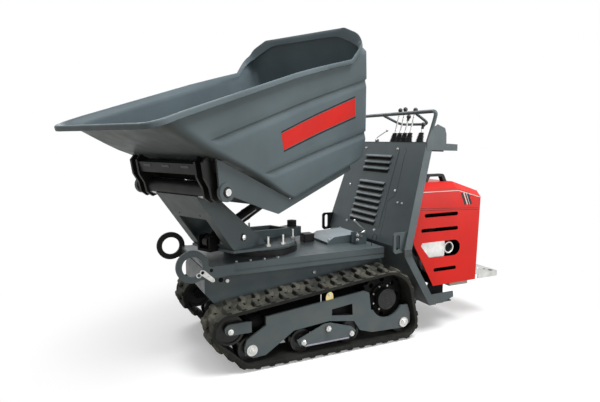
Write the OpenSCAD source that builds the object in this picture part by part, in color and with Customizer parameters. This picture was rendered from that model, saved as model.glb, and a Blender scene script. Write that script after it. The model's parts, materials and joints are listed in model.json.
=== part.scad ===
// Tracked power carrier with a swivelling, forward tipping skip.
// Millimetres. +X is forward, +Y is the machine's left, +Z is up.
// The origin is on the ground, on the centre plane, below the bogie pivots.

/* [Tracks] */
// Overall width over the two tracks
track_w = 1000; // [940:5:1080]
// Width of one rubber belt
belt_w = 230; // [220:1:236]
// Thickness of the belt carcass
carcass_t = 17; // [14:0.5:20]
// Height of a tread lug
lug_h = 25; // [18:0.5:30]
// Tread lugs around one belt
lug_count = 37; // [30:1:40]
// Width of a tread lug at its foot
lug_foot = 44; // [36:1:48]
// Front idler, place along the machine
idler_x = 635; // [625:1:660]
// Front idler, axle height
idler_z = 257; // [250:1:265]
// Front idler radius
idler_r = 93; // [88:0.5:96]
// Take-up travel of the idler fork
takeup = 18; // [10:1:19]
// Drive sprocket, place along the machine
sprocket_x = -457; // [-460:1:-452]
// Drive sprocket, axle height
sprocket_z = 299; // [295:1:306]
// Drive sprocket radius over its teeth
sprocket_r = 172; // [168:0.5:174]
// Sprocket teeth
sprocket_teeth = 16; // [12:1:20]
// End rollers, radius
roller_r = 80; // [78:0.5:82]
// Front end roller, place along the machine
roller_front_x = 506; // [500:1:510]
// Rear end roller, place along the machine
roller_rear_x = -591; // [-596:1:-588]
// Bogie rollers, radius
bogie_roller_r = 73; // [68:0.5:76]
// Bogie rollers, distance from the bogie pivot
bogie_arm = 172; // [165:1:178]
// Bogie pivot height
bogie_pivot_z = 178; // [174:1:182]

/* [Chassis] */
// Half width of the main frame over its side plates
frame_half = 260; // [250:1:264]
// Thickness of the welded frame plates
plate_t = 10; // [8:0.5:12]
// Height of the deck's top face
deck_z = 620; // [610:1:630]
// Half width of the deck over its rails
deck_half = 317; // [305:1:330]
// Front end of the deck
deck_front_x = 740; // [720:1:760]
// Rear end of the deck
deck_rear_x = -530; // [-532:1:-500]
// Tie-down eye, centre along the machine
eye_x = 815; // [800:1:830]
// Tie-down eye, centre height
eye_z = 628; // [620:1:636]
// Tie-down eye, hole radius
eye_hole_r = 60; // [50:0.5:64]
// Tie-down eye, outer radius
eye_r = 96; // [88:0.5:104]
// Tie-down eye, plate thickness
eye_t = 16; // [10:0.5:20]

/* [Console] */
// Foot of the leaning front panel, along the machine
panel_x = -541; // [-560:1:-538]
// Height of the foot of the leaning panel
panel_z = 640; // [634:1:650]
// Height of the console top
console_z = 1340; // [1300:1:1380]
// Backward lean of the panel, run over rise
panel_lean = 0.3; // [0.27:0.005:0.33]
// Half width of the panel at its foot
panel_half_foot = 532; // [515:1:545]
// Half width of the panel at its top
panel_half_top = 462; // [450:1:475]
// Sheet thickness of console and cowl
sheet_t = 4; // [3:0.5:5]
// Depth of the turned side flanges
flange_d = 60; // [45:1:70]
// Louvres in the upper group
louvres_upper = 3; // [1:1:3]
// Louvres in the lower group
louvres_lower = 7; // [3:1:7]
// Depth of the console top plate
console_d = 150; // [140:1:170]

/* [Controls] */
// Distance between the four main levers
lever_pitch = 62; // [60:1:66]
// Lever row, place of the middle across the machine
lever_mid_y = 53; // [40:1:66]
// Height of the main lever knobs above the console
lever_h = 245; // [225:1:255]
// Height of the short lever's knob above the console
short_lever_h = 128; // [110:1:140]
// Short lever, distance in from the end of the console top
short_lever_in = 187; // [170:1:200]
// Backward lean of the levers, run over rise
lever_slope = 0.26; // [0.24:0.01:0.28]
// Lever rod radius
lever_rod_r = 6; // [4:0.25:7]
// Lever knob radius
knob_r = 17; // [13:0.5:19]

/* [Engine bay] */
// Half width of the cowl
cowl_half = 440; // [430:1:445]
// Top of the rear rails that carry the engine
rail_z = 212; // [208:1:214]
// Rear end of the rear rails and of the shoe on them
shoe_rear_x = -1010; // [-1020:1:-1000]
// Underside of the raised floor in the cowl
bay_z = 338; // [336:1:342]
// Step plate, hinge line along the machine
step_x = -1330; // [-1345:1:-1325]
// Step plate, height of its hinge line
step_z = 330; // [325:1:335]
// Step plate, length
step_l = 215; // [180:1:240]
// Step plate, half width
step_half = 380; // [340:1:400]

/* [Skip carrier] */
// Swivel axis along the machine
swivel_x = 270; // [255:1:285]
// Swivel angle of the modelled pose
swivel_rest = 25.85; // [0:0.05:40]
// Tip angle of the modelled pose
tip_rest = 16.25; // [6:0.05:30]
// Hinge of the skip, distance ahead of the swivel axis
hinge_d = 652; // [640:1:660]
// Height of the skip hinge
hinge_z = 1088; // [1080:1:1100]
// Radius of the hinge pin
pin_r = 30; // [24:0.5:34]
// Half spacing of the carrier's side plates, outer faces
carrier_half = 376; // [370:1:382]
// Half width of the tip post over its side plates
post_half = 185; // [170:1:195]
// Radius of the slewing ring
ring_r = 250; // [240:1:255]

/* [Skip] */
// Height of the skip floor, from the hinge
floor_z = -232; // [-240:1:-226]
// Height of the side rim at its crown, from the hinge
rim_z = 497; // [480:1:510]
// Extra height of the rear wall
rear_raise = 202; // [150:1:230]
// Wall thickness of the skip
skip_t = 5; // [4:0.5:8]
// Front edge of the flat floor, from the hinge
floor_front_x = -486; // [-500:1:-470]
// Front wall at the rim, from the hinge
lip_x = 358; // [350:1:368]
// Half width of the front wall at the rim
lip_half = 448; // [435:1:455]
// Where the side walls begin to widen, from the hinge
widen_x = -770; // [-800:1:-740]
// Where the side rim begins to rise, from the hinge
side_rear_x = -1141; // [-1160:1:-1120]
// Rear corner of the side walls at the rim, from the hinge
corner_x = -1340; // [-1350:1:-1330]
// Half width over the side walls at the rear corners
rim_half = 548; // [535:1:555]
// Rear wall at the rim, from the hinge
back_x = -1360; // [-1375:1:-1350]
// Half width of the rear wall
back_half = 312; // [300:1:350]
// Half width of the floor
floor_half = 400; // [396:1:410]
// Turned rim, width
rim_flange = 32; // [20:0.5:36]
// Turned rim, height
rim_drop = 30; // [20:0.5:34]

/* [Tipping ram] */
// Lower pin, ahead of the swivel axis
ram_foot_x = 460; // [455:1:465]
// Lower pin, height
ram_foot_z = 745; // [742:1:750]
// Upper pin, from the hinge along the skip
ram_head_x = -720; // [-730:1:-710]
// Upper pin, from the hinge, height in the lowered skip
ram_head_z = -320; // [-325:1:-315]
// Barrel radius
barrel_r = 38; // [34:0.5:40]
// Rod radius
rod_r = 22; // [18:0.5:24]

/* [Clearances] */
// Radial running clearance of a shaft in its bore
fit = 0.06; // [0.02:0.01:0.1]
// Gap between moving faces
gap = 0.3; // [0.2:0.05:0.6]

/* [Hidden] */
$fn = 48;

paint = "#5b6468";
dark = "#202223";
zinc = "#c2c5c6";
rubber = "#35342f";
cowl_red = "#d63a31";

// Places across one track, for the left side
belt_out = track_w / 2;
belt_in = belt_out - belt_w;
belt_mid = (belt_out + belt_in) / 2;
disc_out = belt_mid + 63;
disc_in = belt_mid - 63;
disc_w = 34;
frame_out = belt_mid + 85;
frame_in = belt_mid - 85;
side_plate_t = 16;
bogie_out = frame_out + 12;
bogie_in = frame_in - 14;
bogie_t = 10;
axle_r = 18;

// Heights in one track
run_z = lug_h + carcass_t;
roller_z = run_z + roller_r + gap;
bogie_roller_z = run_z + bogie_roller_r + gap;
fork_z = idler_z + 5;
fork_tube_r = 30;
fork_web_x = idler_x - 130;
beam_front_x = 400;
beam_rear_x = -250;
beam_low_z = 222;

// The wheels that the belt runs round, in order, as [x, z, radius of the belt's inner face]
wheels = [[idler_x, idler_z, idler_r + gap], [sprocket_x, sprocket_z, sprocket_r + gap],
          [roller_rear_x, roller_z, roller_r + gap], [roller_front_x, roller_z, roller_r + gap]];

// Heights above the deck
ring_h = 37;
ring_gap = gap;
turn_z = deck_z + 70;
turn_t = 15;
turn_top = turn_z + turn_t;
spigot_r = 60;
post_t = 20;
spine_half = 95;
spine_h = 28;
spine_rear_h = 42;
spine_front_h = 70;
spine_rear_x = -205;
spine_front_x = 165;
end_block_half = 58;
buffer_h = 42;
buffer_r = 34;
buffer_x = -335;
lug_half = barrel_r + 4;
lug_t = 16;
bracket_in = barrel_r + 6;
bracket_t = 14;

// Skip in its own frame, with the hinge as origin
chute_rise = rim_z - floor_z;
chute_run = lip_x - floor_front_x;
strip_h = 43;
strip_z = floor_z - strip_h;
pad_top = strip_z;
pad_low = turn_top + spine_h + buffer_h - hinge_z + gap;

// Ram at rest, in the swivelled frame
head_rest = [hinge_d + ram_head_x * cos(tip_rest) + ram_head_z * sin(tip_rest),
             hinge_z - ram_head_x * sin(tip_rest) + ram_head_z * cos(tip_rest)];
ram_run = head_rest[0] - ram_foot_x;
ram_rise = head_rest[1] - ram_foot_z;
ram_l = sqrt(ram_run * ram_run + ram_rise * ram_rise);
ram_tilt = atan2(ram_rise, -ram_run);
ram_closed = 528;
ram_eye_w = 20;
ram_pin_r = axle_r - 4;

// Console sheet
panel_rise = console_z - panel_z;
panel_top_x = panel_x - panel_lean * panel_rise;
panel_angle = atan(panel_lean);
toe_x = -800;
toe_z = rail_z;
toe_half = 490;
console_rear_x = panel_top_x - console_d;
louvre_half = 170;
louvre_mid_y = -45;
louvre_pitch = 46;
lever_x = panel_top_x - 92;
ear_h = 20;
lever_pivot_z = console_z + 6 + 12;

function unit(v) = v / norm(v);
function mix(a, b, t) = a + (b - a) * t;
function sum(v, n) = n <= 0 ? 0 : v[n - 1] + sum(v, n - 1);

// Helpers: a plate in the XZ plane, and round bars along each axis
module plate_y(pts, y0, y1) {
    translate([0, y1, 0]) rotate([90, 0, 0]) linear_extrude(y1 - y0) polygon(pts);
}
module bar_x(x0, x1, y, z, r) {
    translate([x0, y, z]) rotate([0, 90, 0]) cylinder(h = x1 - x0, r = r);
}
module bar_y(x, z, r, y0, y1) {
    translate([x, y0, z]) rotate([-90, 0, 0]) cylinder(h = y1 - y0, r = r);
}
module box(x0, x1, y0, y1, z0, z1) {
    translate([x0, y0, z0]) cube([x1 - x0, y1 - y0, z1 - z0]);
}
module rod(a, b, r) {
    d = b - a;
    translate(a) rotate([0, acos(d[2] / norm(d)), atan2(d[1], d[0])]) cylinder(h = norm(d), r = r);
}
module bent_tube(pts, r) {
    for (i = [0 : len(pts) - 2]) rod(pts[i], pts[i + 1], r);
    for (i = [1 : len(pts) - 2]) translate(pts[i]) sphere(r = r + 0.4);
}
module both_sides() {
    children();
    mirror([0, 1, 0]) children();
}
module right_side() {
    mirror([0, 1, 0]) children();
}
module hex_head(h, r) {
    cylinder(h = h, r = r, $fn = 6);
}

// Frames of the moving skip
module swivelled() {
    translate([swivel_x, 0, 0]) rotate([0, 0, swivel_rest]) children();
}
module tipped() {
    swivelled() translate([hinge_d, 0, hinge_z]) rotate([0, tip_rest, 0]) children();
}
module along_ram() {
    swivelled() translate([ram_foot_x, 0, ram_foot_z]) rotate([0, ram_tilt - 90, 0]) children();
}

// Belt path: tangent spans between the wheels, and arcs round them
function wheel(i) = wheels[i % len(wheels)];
function span_vec(i) = [wheel(i + 1)[0] - wheel(i)[0], wheel(i + 1)[1] - wheel(i)[1]];
function normal_angle(i) = atan2(span_vec(i)[1], span_vec(i)[0])
    - acos((wheel(i)[2] - wheel(i + 1)[2]) / norm(span_vec(i)));
function on_wheel(i, angle, extra) = [wheel(i)[0] + (wheel(i)[2] + extra) * cos(angle),
                                      wheel(i)[1] + (wheel(i)[2] + extra) * sin(angle)];
function span_ends(i, extra) = [on_wheel(i, normal_angle(i), extra), on_wheel(i + 1, normal_angle(i),
        extra)];
function positive(a) = a < 0 ? positive(a + 360) : a >= 360 ? positive(a - 360) : a;
function arc_angle(i) = positive(normal_angle(i + 1) - normal_angle(i));
function span_len(i) = norm(span_ends(i, 0)[1] - span_ends(i, 0)[0]);
function arc_len(i) = (wheel(i + 1)[2] + carcass_t) * arc_angle(i) * PI / 180;
path_parts = [for (i = [0 : len(wheels) - 1]) each [span_len(i), arc_len(i)]];
path_len = sum(path_parts, len(path_parts));

// Point and outward angle on the belt's outer face, a distance s along it
function path_at(s, k = 0) =
    s > path_parts[k] ? path_at(s - path_parts[k], k + 1)
    : let (i = floor(k / 2), a = normal_angle(i))
      k % 2 == 0
        ? let (e = span_ends(i, carcass_t)) concat(mix(e[0], e[1], s / path_parts[k]), [a])
        : let (b = a + arc_angle(i) * s / path_parts[k]) concat(on_wheel(i + 1, b, carcass_t), [b]);

// Corners of the belt round one wheel, on lines that touch the wheel every few degrees
function arc_corners(i, extra) =
    let (n = ceil(arc_angle(i) / 6), step = arc_angle(i) / n, r = wheel(i + 1)[2])
    [for (k = [0 : n - 1]) on_wheel(i + 1, normal_angle(i) + (k + 0.5) * step,
                                    (r + extra) / cos(step / 2) - r)];
module belt_face(extra) {
    polygon([for (i = [0 : len(wheels) - 1]) each arc_corners(i, extra)]);
}

lug_tip = lug_foot - 16;
lug_len = belt_w / 2 - 4;
lug_sink = 3;

module lug(s, y0) {
    p = path_at(s % path_len);
    translate([p[0], y0 + lug_len, p[1]]) rotate([90, 0, 0]) rotate([0, 0,
            p[2] - 90]) linear_extrude(lug_len)
        polygon([[-lug_foot / 2, -lug_sink], [lug_foot / 2, -lug_sink], [lug_foot / 2, 2],
                 [lug_tip / 2, lug_h], [-lug_tip / 2, lug_h], [-lug_foot / 2, 2]]);
}

module track_belt() {
    color(rubber) {
        translate([0, belt_out, 0]) rotate([90, 0, 0]) linear_extrude(belt_w) difference() {
            belt_face(carcass_t);
            belt_face(0);
        }
        for (i = [0 : lug_count - 1]) {
            lug(i * path_len / lug_count, belt_out - lug_len - 2);
            lug((i + 0.5) * path_len / lug_count, belt_in + 2);
        }
    }
}

// Track frame: outer plate, inner plate, box beam, axles
frame_pts = [[415, 313], [-271, 382], [-312, 365], [-330, 240], [-625, 240], [-648, 180], [-645, 110],
             [-591, 82], [-339, 91], [-245, 121], [-198, 190], [-13, 219], [231, 197], [417, 76],
             [500, 72], [548, 100], [552, 140], [536, 185], [415, 258]];
recess_r = 125;
motor_r = 80;
motor_flange_r = 112;
hanger_half = 45;
window_pts = [[-34, 292], [-184, 309], [-188, 232], [-34, 252]];

module roller_axle(x, z) {
    bar_y(x, z, axle_r, frame_in, frame_out + 6);
    bar_y(x, z, 34, frame_out, frame_out + 8);
    bar_y(x, z, 16, frame_out, frame_out + 14);
}

module track_frame() {
    beam_pts = [[beam_front_x, beam_low_z], [beam_front_x, 306], [beam_rear_x, 370], [beam_rear_x,
            beam_low_z]];
    inner_pts = [[415, 313], [-271, 382], [-350, 390], [-625, 240], [-648, 180], [-645, 110], [-591, 82],
                 [-339, 91], [-245, 121], [-198, 190], [-13, 219], [231, 197], [417, 76], [500, 72],
                 [548, 100], [552, 140], [536, 185], [415, 258]];
    color(paint) {
        difference() {
            plate_y(frame_pts, frame_out - side_plate_t, frame_out);
            bar_y(sprocket_x, sprocket_z, recess_r, frame_out - side_plate_t - 1, frame_out + 1);
            plate_y(window_pts, frame_out - side_plate_t - 1, frame_out + 1);
        }
        difference() {
            union() {
                plate_y(inner_pts, frame_in, frame_in + side_plate_t);
                bar_y(sprocket_x, sprocket_z, recess_r, frame_in, frame_in + side_plate_t);
            }
            bar_y(sprocket_x, sprocket_z, motor_r + gap, frame_in - 1, frame_in + side_plate_t + 1);
        }
        difference() {
            plate_y(beam_pts, frame_in + side_plate_t, frame_out - side_plate_t);
            bar_x(beam_front_x - 190, beam_front_x + 1, belt_mid, fork_z, fork_tube_r + fit);
            plate_y(window_pts, frame_out - side_plate_t - 30, frame_out);
        }
        box(-hanger_half, hanger_half, belt_mid - 26, belt_mid + 26, bogie_pivot_z - 28, beam_low_z);
        bar_y(0, bogie_pivot_z, axle_r, bogie_in - 4, bogie_out + 8);
        bar_y(0, bogie_pivot_z, 15, bogie_out + 8, bogie_out + 16);
        roller_axle(roller_front_x, roller_z);
        roller_axle(roller_rear_x, roller_z);
    }
}

// A roller or idler: two discs joined by a hub, turning on an axle
module roller(x, z, r) {
    color(dark) difference() {
        union() {
            bar_y(x, z, r, disc_in, disc_in + disc_w);
            bar_y(x, z, r, disc_out - disc_w, disc_out);
            bar_y(x, z, axle_r + 20, disc_in, disc_out);
        }
        bar_y(x, z, axle_r + fit, disc_in - 1, disc_out + 1);
        for (y = [disc_in - 1, disc_out - 9]) difference() {
            bar_y(x, z, r - 14, y, y + 10);
            bar_y(x, z, axle_r + 14, y - 1, y + 11);
        }
    }
}

module idler_fork() {
    arm_low = fork_z - 30;
    arm_top = fork_z + 38;
    color(paint) {
        box(fork_web_x, fork_web_x + 25, frame_in, frame_out, arm_low, arm_top);
        for (y = [frame_in, frame_out - side_plate_t]) {
            box(fork_web_x, idler_x, y, y + side_plate_t, arm_low, arm_top);
            bar_y(idler_x, fork_z + 4, 34, y, y + side_plate_t);
        }
        bar_x(beam_front_x - 150, fork_web_x, belt_mid, fork_z, fork_tube_r);
        bar_x(beam_front_x + takeup + 4, fork_web_x, belt_mid, fork_z, fork_tube_r + 10);
        bar_y(idler_x, idler_z, axle_r, frame_in, frame_out + 8);
        bar_y(idler_x, idler_z, 14, frame_out, frame_out + 15);
    }
}

module bogie() {
    pts = [[bogie_arm + 43, bogie_roller_z + 18], [24, bogie_pivot_z + 30], [-24, bogie_pivot_z + 30],
           [-bogie_arm, bogie_roller_z + 46], [-bogie_arm - 36, bogie_roller_z + 14],
           [-bogie_arm - 10, bogie_roller_z - 22], [bogie_arm + 22, bogie_roller_z - 22]];
    color(paint) {
        for (y = [bogie_in, bogie_out - bogie_t]) difference() {
            plate_y(pts, y, y + bogie_t);
            bar_y(0, bogie_pivot_z, axle_r + fit, y - 1, y + bogie_t + 1);
        }
        box(-bogie_arm + 20, bogie_arm - 6, bogie_out - bogie_t, bogie_out + 8, bogie_roller_z - 27,
            bogie_roller_z - 21);
        for (s = [-1, 1]) {
            bar_y(s * bogie_arm, bogie_roller_z, axle_r, bogie_in, bogie_out + 4);
            bar_y(s * bogie_arm, bogie_roller_z, 14, bogie_out, bogie_out + 14);
        }
    }
}

// Hydraulic wheel motor on the inner plate, with its drive shaft
motor_face = frame_in + side_plate_t + 30;
module drive_motor() {
    color(dark) {
        bar_y(sprocket_x, sprocket_z, motor_r, frame_half + 4, motor_face);
        bar_y(sprocket_x, sprocket_z, motor_flange_r, frame_in + side_plate_t,
              frame_in + side_plate_t + 12);
        bar_y(sprocket_x, sprocket_z, 28, motor_face, belt_mid + 20);
    }
}

module sprocket() {
    tooth = 360 / sprocket_teeth;
    root_r = sprocket_r - 18;
    color(dark) difference() {
        union() {
            translate([sprocket_x, belt_mid + 15, sprocket_z]) rotate([90, 0,
                    0]) linear_extrude(30) polygon([
                for (i = [0 : sprocket_teeth - 1]) for (k = [[0.0, root_r], [0.3, root_r], [0.42,
                        sprocket_r - gap],
                                                             [0.58, sprocket_r - gap], [0.7, root_r]])
                    [k[1] * cos((i + k[0]) * tooth), k[1] * sin((i + k[0]) * tooth)]]);
            bar_y(sprocket_x, sprocket_z, 72, belt_mid, frame_out - 4);
            bar_y(sprocket_x, sprocket_z, 95, belt_mid + 15, belt_mid + 30);
        }
        bar_y(sprocket_x, sprocket_z, 28 + fit, belt_mid - 16, belt_mid + 20 + gap);
        for (i = [0 : 7])
            bar_y(sprocket_x + 120 * cos(45 * i), sprocket_z + 120 * sin(45 * i), 17, belt_mid - 16,
                  belt_mid + 16);
    }
}

// Main frame: side plates, floor, belly, swivel boss, track cross tubes and rear rails
rail_half = 250;
rail_in = 180;
rail_h = 47;
cross_half = 55;
cross_x = 205;
deck_t = 20;
frame_top = deck_z - deck_t;
module main_frame() {
    side_pts = [[-560, rail_z - rail_h], [-560, 480], [deck_rear_x, frame_top], [700, frame_top], [728,
            514],
                [728, 434], [560, 232], [-300, 232], [-400, rail_z - rail_h]];
    apron_pts = [[718, frame_top - 30], [728, 514], [728, 434], [560, 232], [548, 240], [718, 440]];
    color(paint) {
        both_sides() {
            plate_y(side_pts, frame_half - plate_t, frame_half);
            box(shoe_rear_x, -560, rail_in, rail_half, rail_z - rail_h, rail_z);
            for (s = [-1, 1])
                box(s * cross_x - cross_half, s * cross_x + cross_half, frame_half, frame_in, 250, 330);
        }
        plate_y(apron_pts, plate_t - frame_half, frame_half - plate_t);
        box(-560, 560, plate_t - frame_half, frame_half - plate_t, 232, 242);
        difference() {
            union() {
                translate([swivel_x, 0, 500]) cylinder(h = frame_top - 500, r = 92);
                for (s = [-1, 1]) box(swivel_x + s * 60 - 5, swivel_x + s * 60 + 5,
                                      plate_t - frame_half, frame_half - plate_t, 500, frame_top);
            }
            translate([swivel_x, 0, 499]) cylinder(h = frame_top - 498, r = spigot_r + fit);
        }
    }
}

module deck_plate() {
    rail_w = 8;
    color(paint) {
        difference() {
            box(deck_rear_x, deck_front_x, rail_w - deck_half, deck_half - rail_w, frame_top, deck_z);
            translate([swivel_x, 0, frame_top - 1]) cylinder(h = deck_t + 2, r = spigot_r + fit);
        }
        both_sides() {
            box(deck_rear_x, deck_front_x, deck_half - rail_w, deck_half, deck_z - 40, deck_z);
            box(deck_rear_x, deck_front_x, deck_half - rail_w, deck_half - 4, deck_z - 52, deck_z - 40);
            box(deck_rear_x, deck_front_x, deck_half - rail_w, deck_half, deck_z - 74, deck_z - 52);
            box(deck_rear_x, 690, frame_half, deck_half - rail_w, deck_z - 74, deck_z - 66);
        }
    }
}

module tie_down_eyes() {
    neck_pts = [[560, deck_z - 60], [560, deck_z - 2], [700, deck_z - 2], [730, deck_z + 4], [755,
            eye_z + 62],
                [eye_x, eye_z + eye_r - 30], [eye_x, eye_z - eye_r + 10], [730, deck_z - 74], [640,
                        deck_z - 72]];
    color(paint) both_sides() difference() {
        union() {
            plate_y(neck_pts, deck_half, deck_half + eye_t);
            bar_y(eye_x, eye_z, eye_r, deck_half, deck_half + eye_t);
        }
        bar_y(eye_x, eye_z, eye_hole_r, deck_half - 1, deck_half + eye_t + 1);
    }
}

// Slewing ring, turntable, tip post
module slew_ring() {
    color(dark) translate([swivel_x, 0, deck_z]) difference() {
        cylinder(h = ring_h, r = ring_r);
        translate([0, 0, -1]) cylinder(h = ring_h + 2, r = ring_r - 70);
    }
}

stud_places = [[200, 258], [90, 284], [-99, 206]];
stud_h = 62;
module turntable() {
    half_pts = [[430, 190], [260, 262], [60, 302], [0, 294], [-80, 244], [-150, 150]];
    pts = concat(half_pts, [for (i = [len(half_pts) - 1 : -1 : 0]) [half_pts[i][0], -half_pts[i][1]]]);
    spine_pts = [[spine_rear_x, turn_z], [spine_front_x, turn_z], [spine_front_x, turn_top + spine_front_h],
                 [spine_rear_x, turn_top + spine_rear_h]];
    spine_t = 15;
    color(paint) swivelled() {
        translate([0, 0, turn_z]) linear_extrude(turn_t) polygon(pts);
        translate([0, 0, deck_z + ring_h + ring_gap]) difference() {
            cylinder(h = turn_z - deck_z - ring_h - ring_gap, r = ring_r - 12);
            translate([0, 0, -1]) cylinder(h = turn_z, r = ring_r - 58);
        }
        translate([0, 0, frame_top - 90]) cylinder(h = turn_z - frame_top + 90, r = spigot_r);
        both_sides() {
            plate_y(spine_pts, spine_half - spine_t, spine_half);
            box(ram_foot_x - 40, ram_foot_x + 36, lug_half, lug_half + lug_t, turn_z, ram_foot_z + 40);
            for (p = stud_places) translate([p[0], p[1], turn_top - 1]) {
                hex_head(13, 15);
                cylinder(h = stud_h, r = 8);
            }
        }
        box(spine_rear_x, spine_rear_x + spine_t, -spine_half, spine_half, turn_z, turn_top + spine_rear_h);
        box(buffer_x - buffer_r - 3, spine_rear_x + 1, -end_block_half, end_block_half, turn_z - 25,
            turn_top + spine_h);
        box(ram_foot_x - 50, ram_foot_x + 36, -lug_half - lug_t, lug_half + lug_t, turn_z, turn_top);
        bar_y(ram_foot_x, ram_foot_z, axle_r, -lug_half, lug_half);
    }
}

post_bush_r = 48;
module tip_post() {
    bush_half = knuckle_in - gap;
    side_pts = [[148, turn_top], [405, turn_top], [432, turn_top + 30], [hinge_d + 28, hinge_z - 30],
                [hinge_d - 40, hinge_z + 20], [hinge_d - 140, hinge_z - 78], [241, turn_top + 86], [168,
                        turn_top + 30]];
    front_t = 14;
    front_pts = [[405, turn_top], [405 + front_t, turn_top], [432 + front_t, turn_top + 30],
                 [hinge_d + 28 + front_t, hinge_z - 34], [hinge_d + 28, hinge_z - 30], [432,
                         turn_top + 30]];
    color(paint) swivelled() {
        difference() {
            union() {
                both_sides() plate_y(side_pts, post_half - post_t, post_half);
                difference() {
                    plate_y(front_pts, -post_half, post_half);
                    box(380, 600, -post_half + 60, post_half - 60, turn_top + 28, turn_top + 202);
                    box(380, 600, -lug_half - lug_t - 3, lug_half + lug_t + 3, turn_top - 1, turn_top + 60);
                }
                bar_y(hinge_d, hinge_z, post_bush_r, -bush_half, bush_half);
            }
            bar_y(hinge_d, hinge_z, pin_r + fit, -bush_half - 1, bush_half + 1);
        }
        both_sides() bar_y(ram_foot_x - 120, ram_foot_z + 30, 15, post_half, post_half + 10);
    }
}

module rubber_buffer() {
    color(dark) swivelled() translate([buffer_x, 0, turn_top + spine_h]) cylinder(h = buffer_h,
            r = buffer_r);
}

module hinge_pin() {
    color(zinc) tipped() {
        bar_y(0, 0, pin_r, -carrier_half - boss_out, carrier_half + boss_out);
        both_sides() bar_y(0, 0, pin_r - 10, carrier_half + boss_out, carrier_half + boss_out + 10);
    }
}

// Carrier under the skip: side plates, hinge knuckles, cross beams and the ram's bracket
function chute_z(x) = floor_z + (x - floor_front_x) * chute_rise / chute_run;
under_gap = 0.5;
chute_gap = 8;
rod_room = 14;
knuckle_in = post_half + 69;
carrier_rear_x = -1160;
boss_r = 52;
boss_out = 12;
module skip_carrier() {
    plate_w = 12;
    front_x = 8;
    knuckle_t = 16;
    side_pts = [[front_x, chute_z(front_x) - chute_gap], [floor_front_x, floor_z - under_gap],
                [carrier_rear_x, floor_z - under_gap], [carrier_rear_x, strip_z], [-357, strip_z], [-246,
                        strip_z + 78],
                [-40, -40], [30, -30], [34, 40]];
    knuckle_pts = [[30, chute_z(30) - chute_gap], [-50, chute_z(-50) - chute_gap], [-66, 40], [-60, -20],
                   [-30, -58],
                   [30, -58], [60, -20], [58, 40], [76, 100], [66, 184]];
    ram_slot = ram_pin_r + 12;
    slot_ends = [-14, 42];
    color(paint) tipped() {
        both_sides() {
            difference() {
                union() {
                    plate_y(side_pts, carrier_half - plate_w, carrier_half);
                    bar_y(0, 0, boss_r, carrier_half - plate_w, carrier_half + boss_out);
                }
                bar_y(0, 0, pin_r + fit, carrier_half - plate_w - 1, carrier_half + boss_out + 1);
            }
            for (y = [knuckle_in, knuckle_in + 60]) difference() {
                plate_y(knuckle_pts, y, y + knuckle_t);
                bar_y(0, 0, pin_r + fit, y - 1, y + knuckle_t + 1);
            }
        }
        box(front_x - 10, front_x, plate_w - carrier_half, carrier_half - plate_w, 110, 170);
        box(front_x, 62, -knuckle_in - 1, knuckle_in + 1, 112, 172);
        box(-430, -415, plate_w - carrier_half, carrier_half - plate_w, strip_z + rod_room,
            floor_z - under_gap);
        box(-1120, -1105, plate_w - carrier_half, carrier_half - plate_w, strip_z, floor_z - under_gap);
        box(buffer_x - hinge_d - 60, buffer_x - hinge_d + 60, plate_w - carrier_half,
            carrier_half - plate_w,
            floor_z - 24, floor_z - under_gap);
        box(buffer_x - hinge_d - 50, buffer_x - hinge_d + 50, -60, 60, pad_low, floor_z - 24);
        box(ram_head_x - 60, ram_head_x + 60, plate_w - carrier_half, carrier_half - plate_w, floor_z - 12,
            floor_z - under_gap);
        both_sides() difference() {
            box(ram_head_x - 55, ram_head_x + 55, bracket_in, bracket_in + bracket_t, ram_head_z - 45,
                floor_z - 12);
            for (dz = slot_ends) bar_y(ram_head_x, ram_head_z + dz, ram_slot, bracket_in - 1,
                                       bracket_in + bracket_t + 1);
            box(ram_head_x - ram_slot, ram_head_x + ram_slot, bracket_in - 1, bracket_in + bracket_t + 1,
                ram_head_z + slot_ends[0], ram_head_z + slot_ends[1]);
        }
    }
}

// Skip shell: rings of one rounded outline, lofted outside and inside
function bezier(a, c, b, t) = a * (1 - t) * (1 - t) + c * 2 * t * (1 - t) + b * t * t;
function corner(p, c, n, d, steps) =
    let (a = c + unit(p - c) * min(d, norm(p - c) * 0.94), b = c + unit(n - c) * min(d, norm(n - c) * 0.94))
    [for (i = [0 : steps]) bezier(a, c, b, i / steps)];
corner_steps = 6;
groove_lower_z = -4;
groove_upper_z = 316;
groove_d = 11;
groove_h = 60;
groove_lip = 9;
nose_len = 45;
front_round = 108;
floor_corner_x = -1330;
floor_back_x = -1340;
foot_round = 62;
foot_round_h = 80;
rim_crown = 17;

function ramp(v, a, b) = v <= a ? 0 : v >= b ? 1 : (v - a) / (b - a);
// Depth of a pressed groove at a height: a crisp upper edge and a long lower slope
function groove(z, top) = z >= top || z <= top - groove_h ? 0
    : z > top - groove_lip ? (top - z) / groove_lip : (z - top + groove_h) / (groove_h - groove_lip);
function drawn_in(z) = groove_d * (groove(z, groove_lower_z) + groove(z, groove_upper_z));
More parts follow.
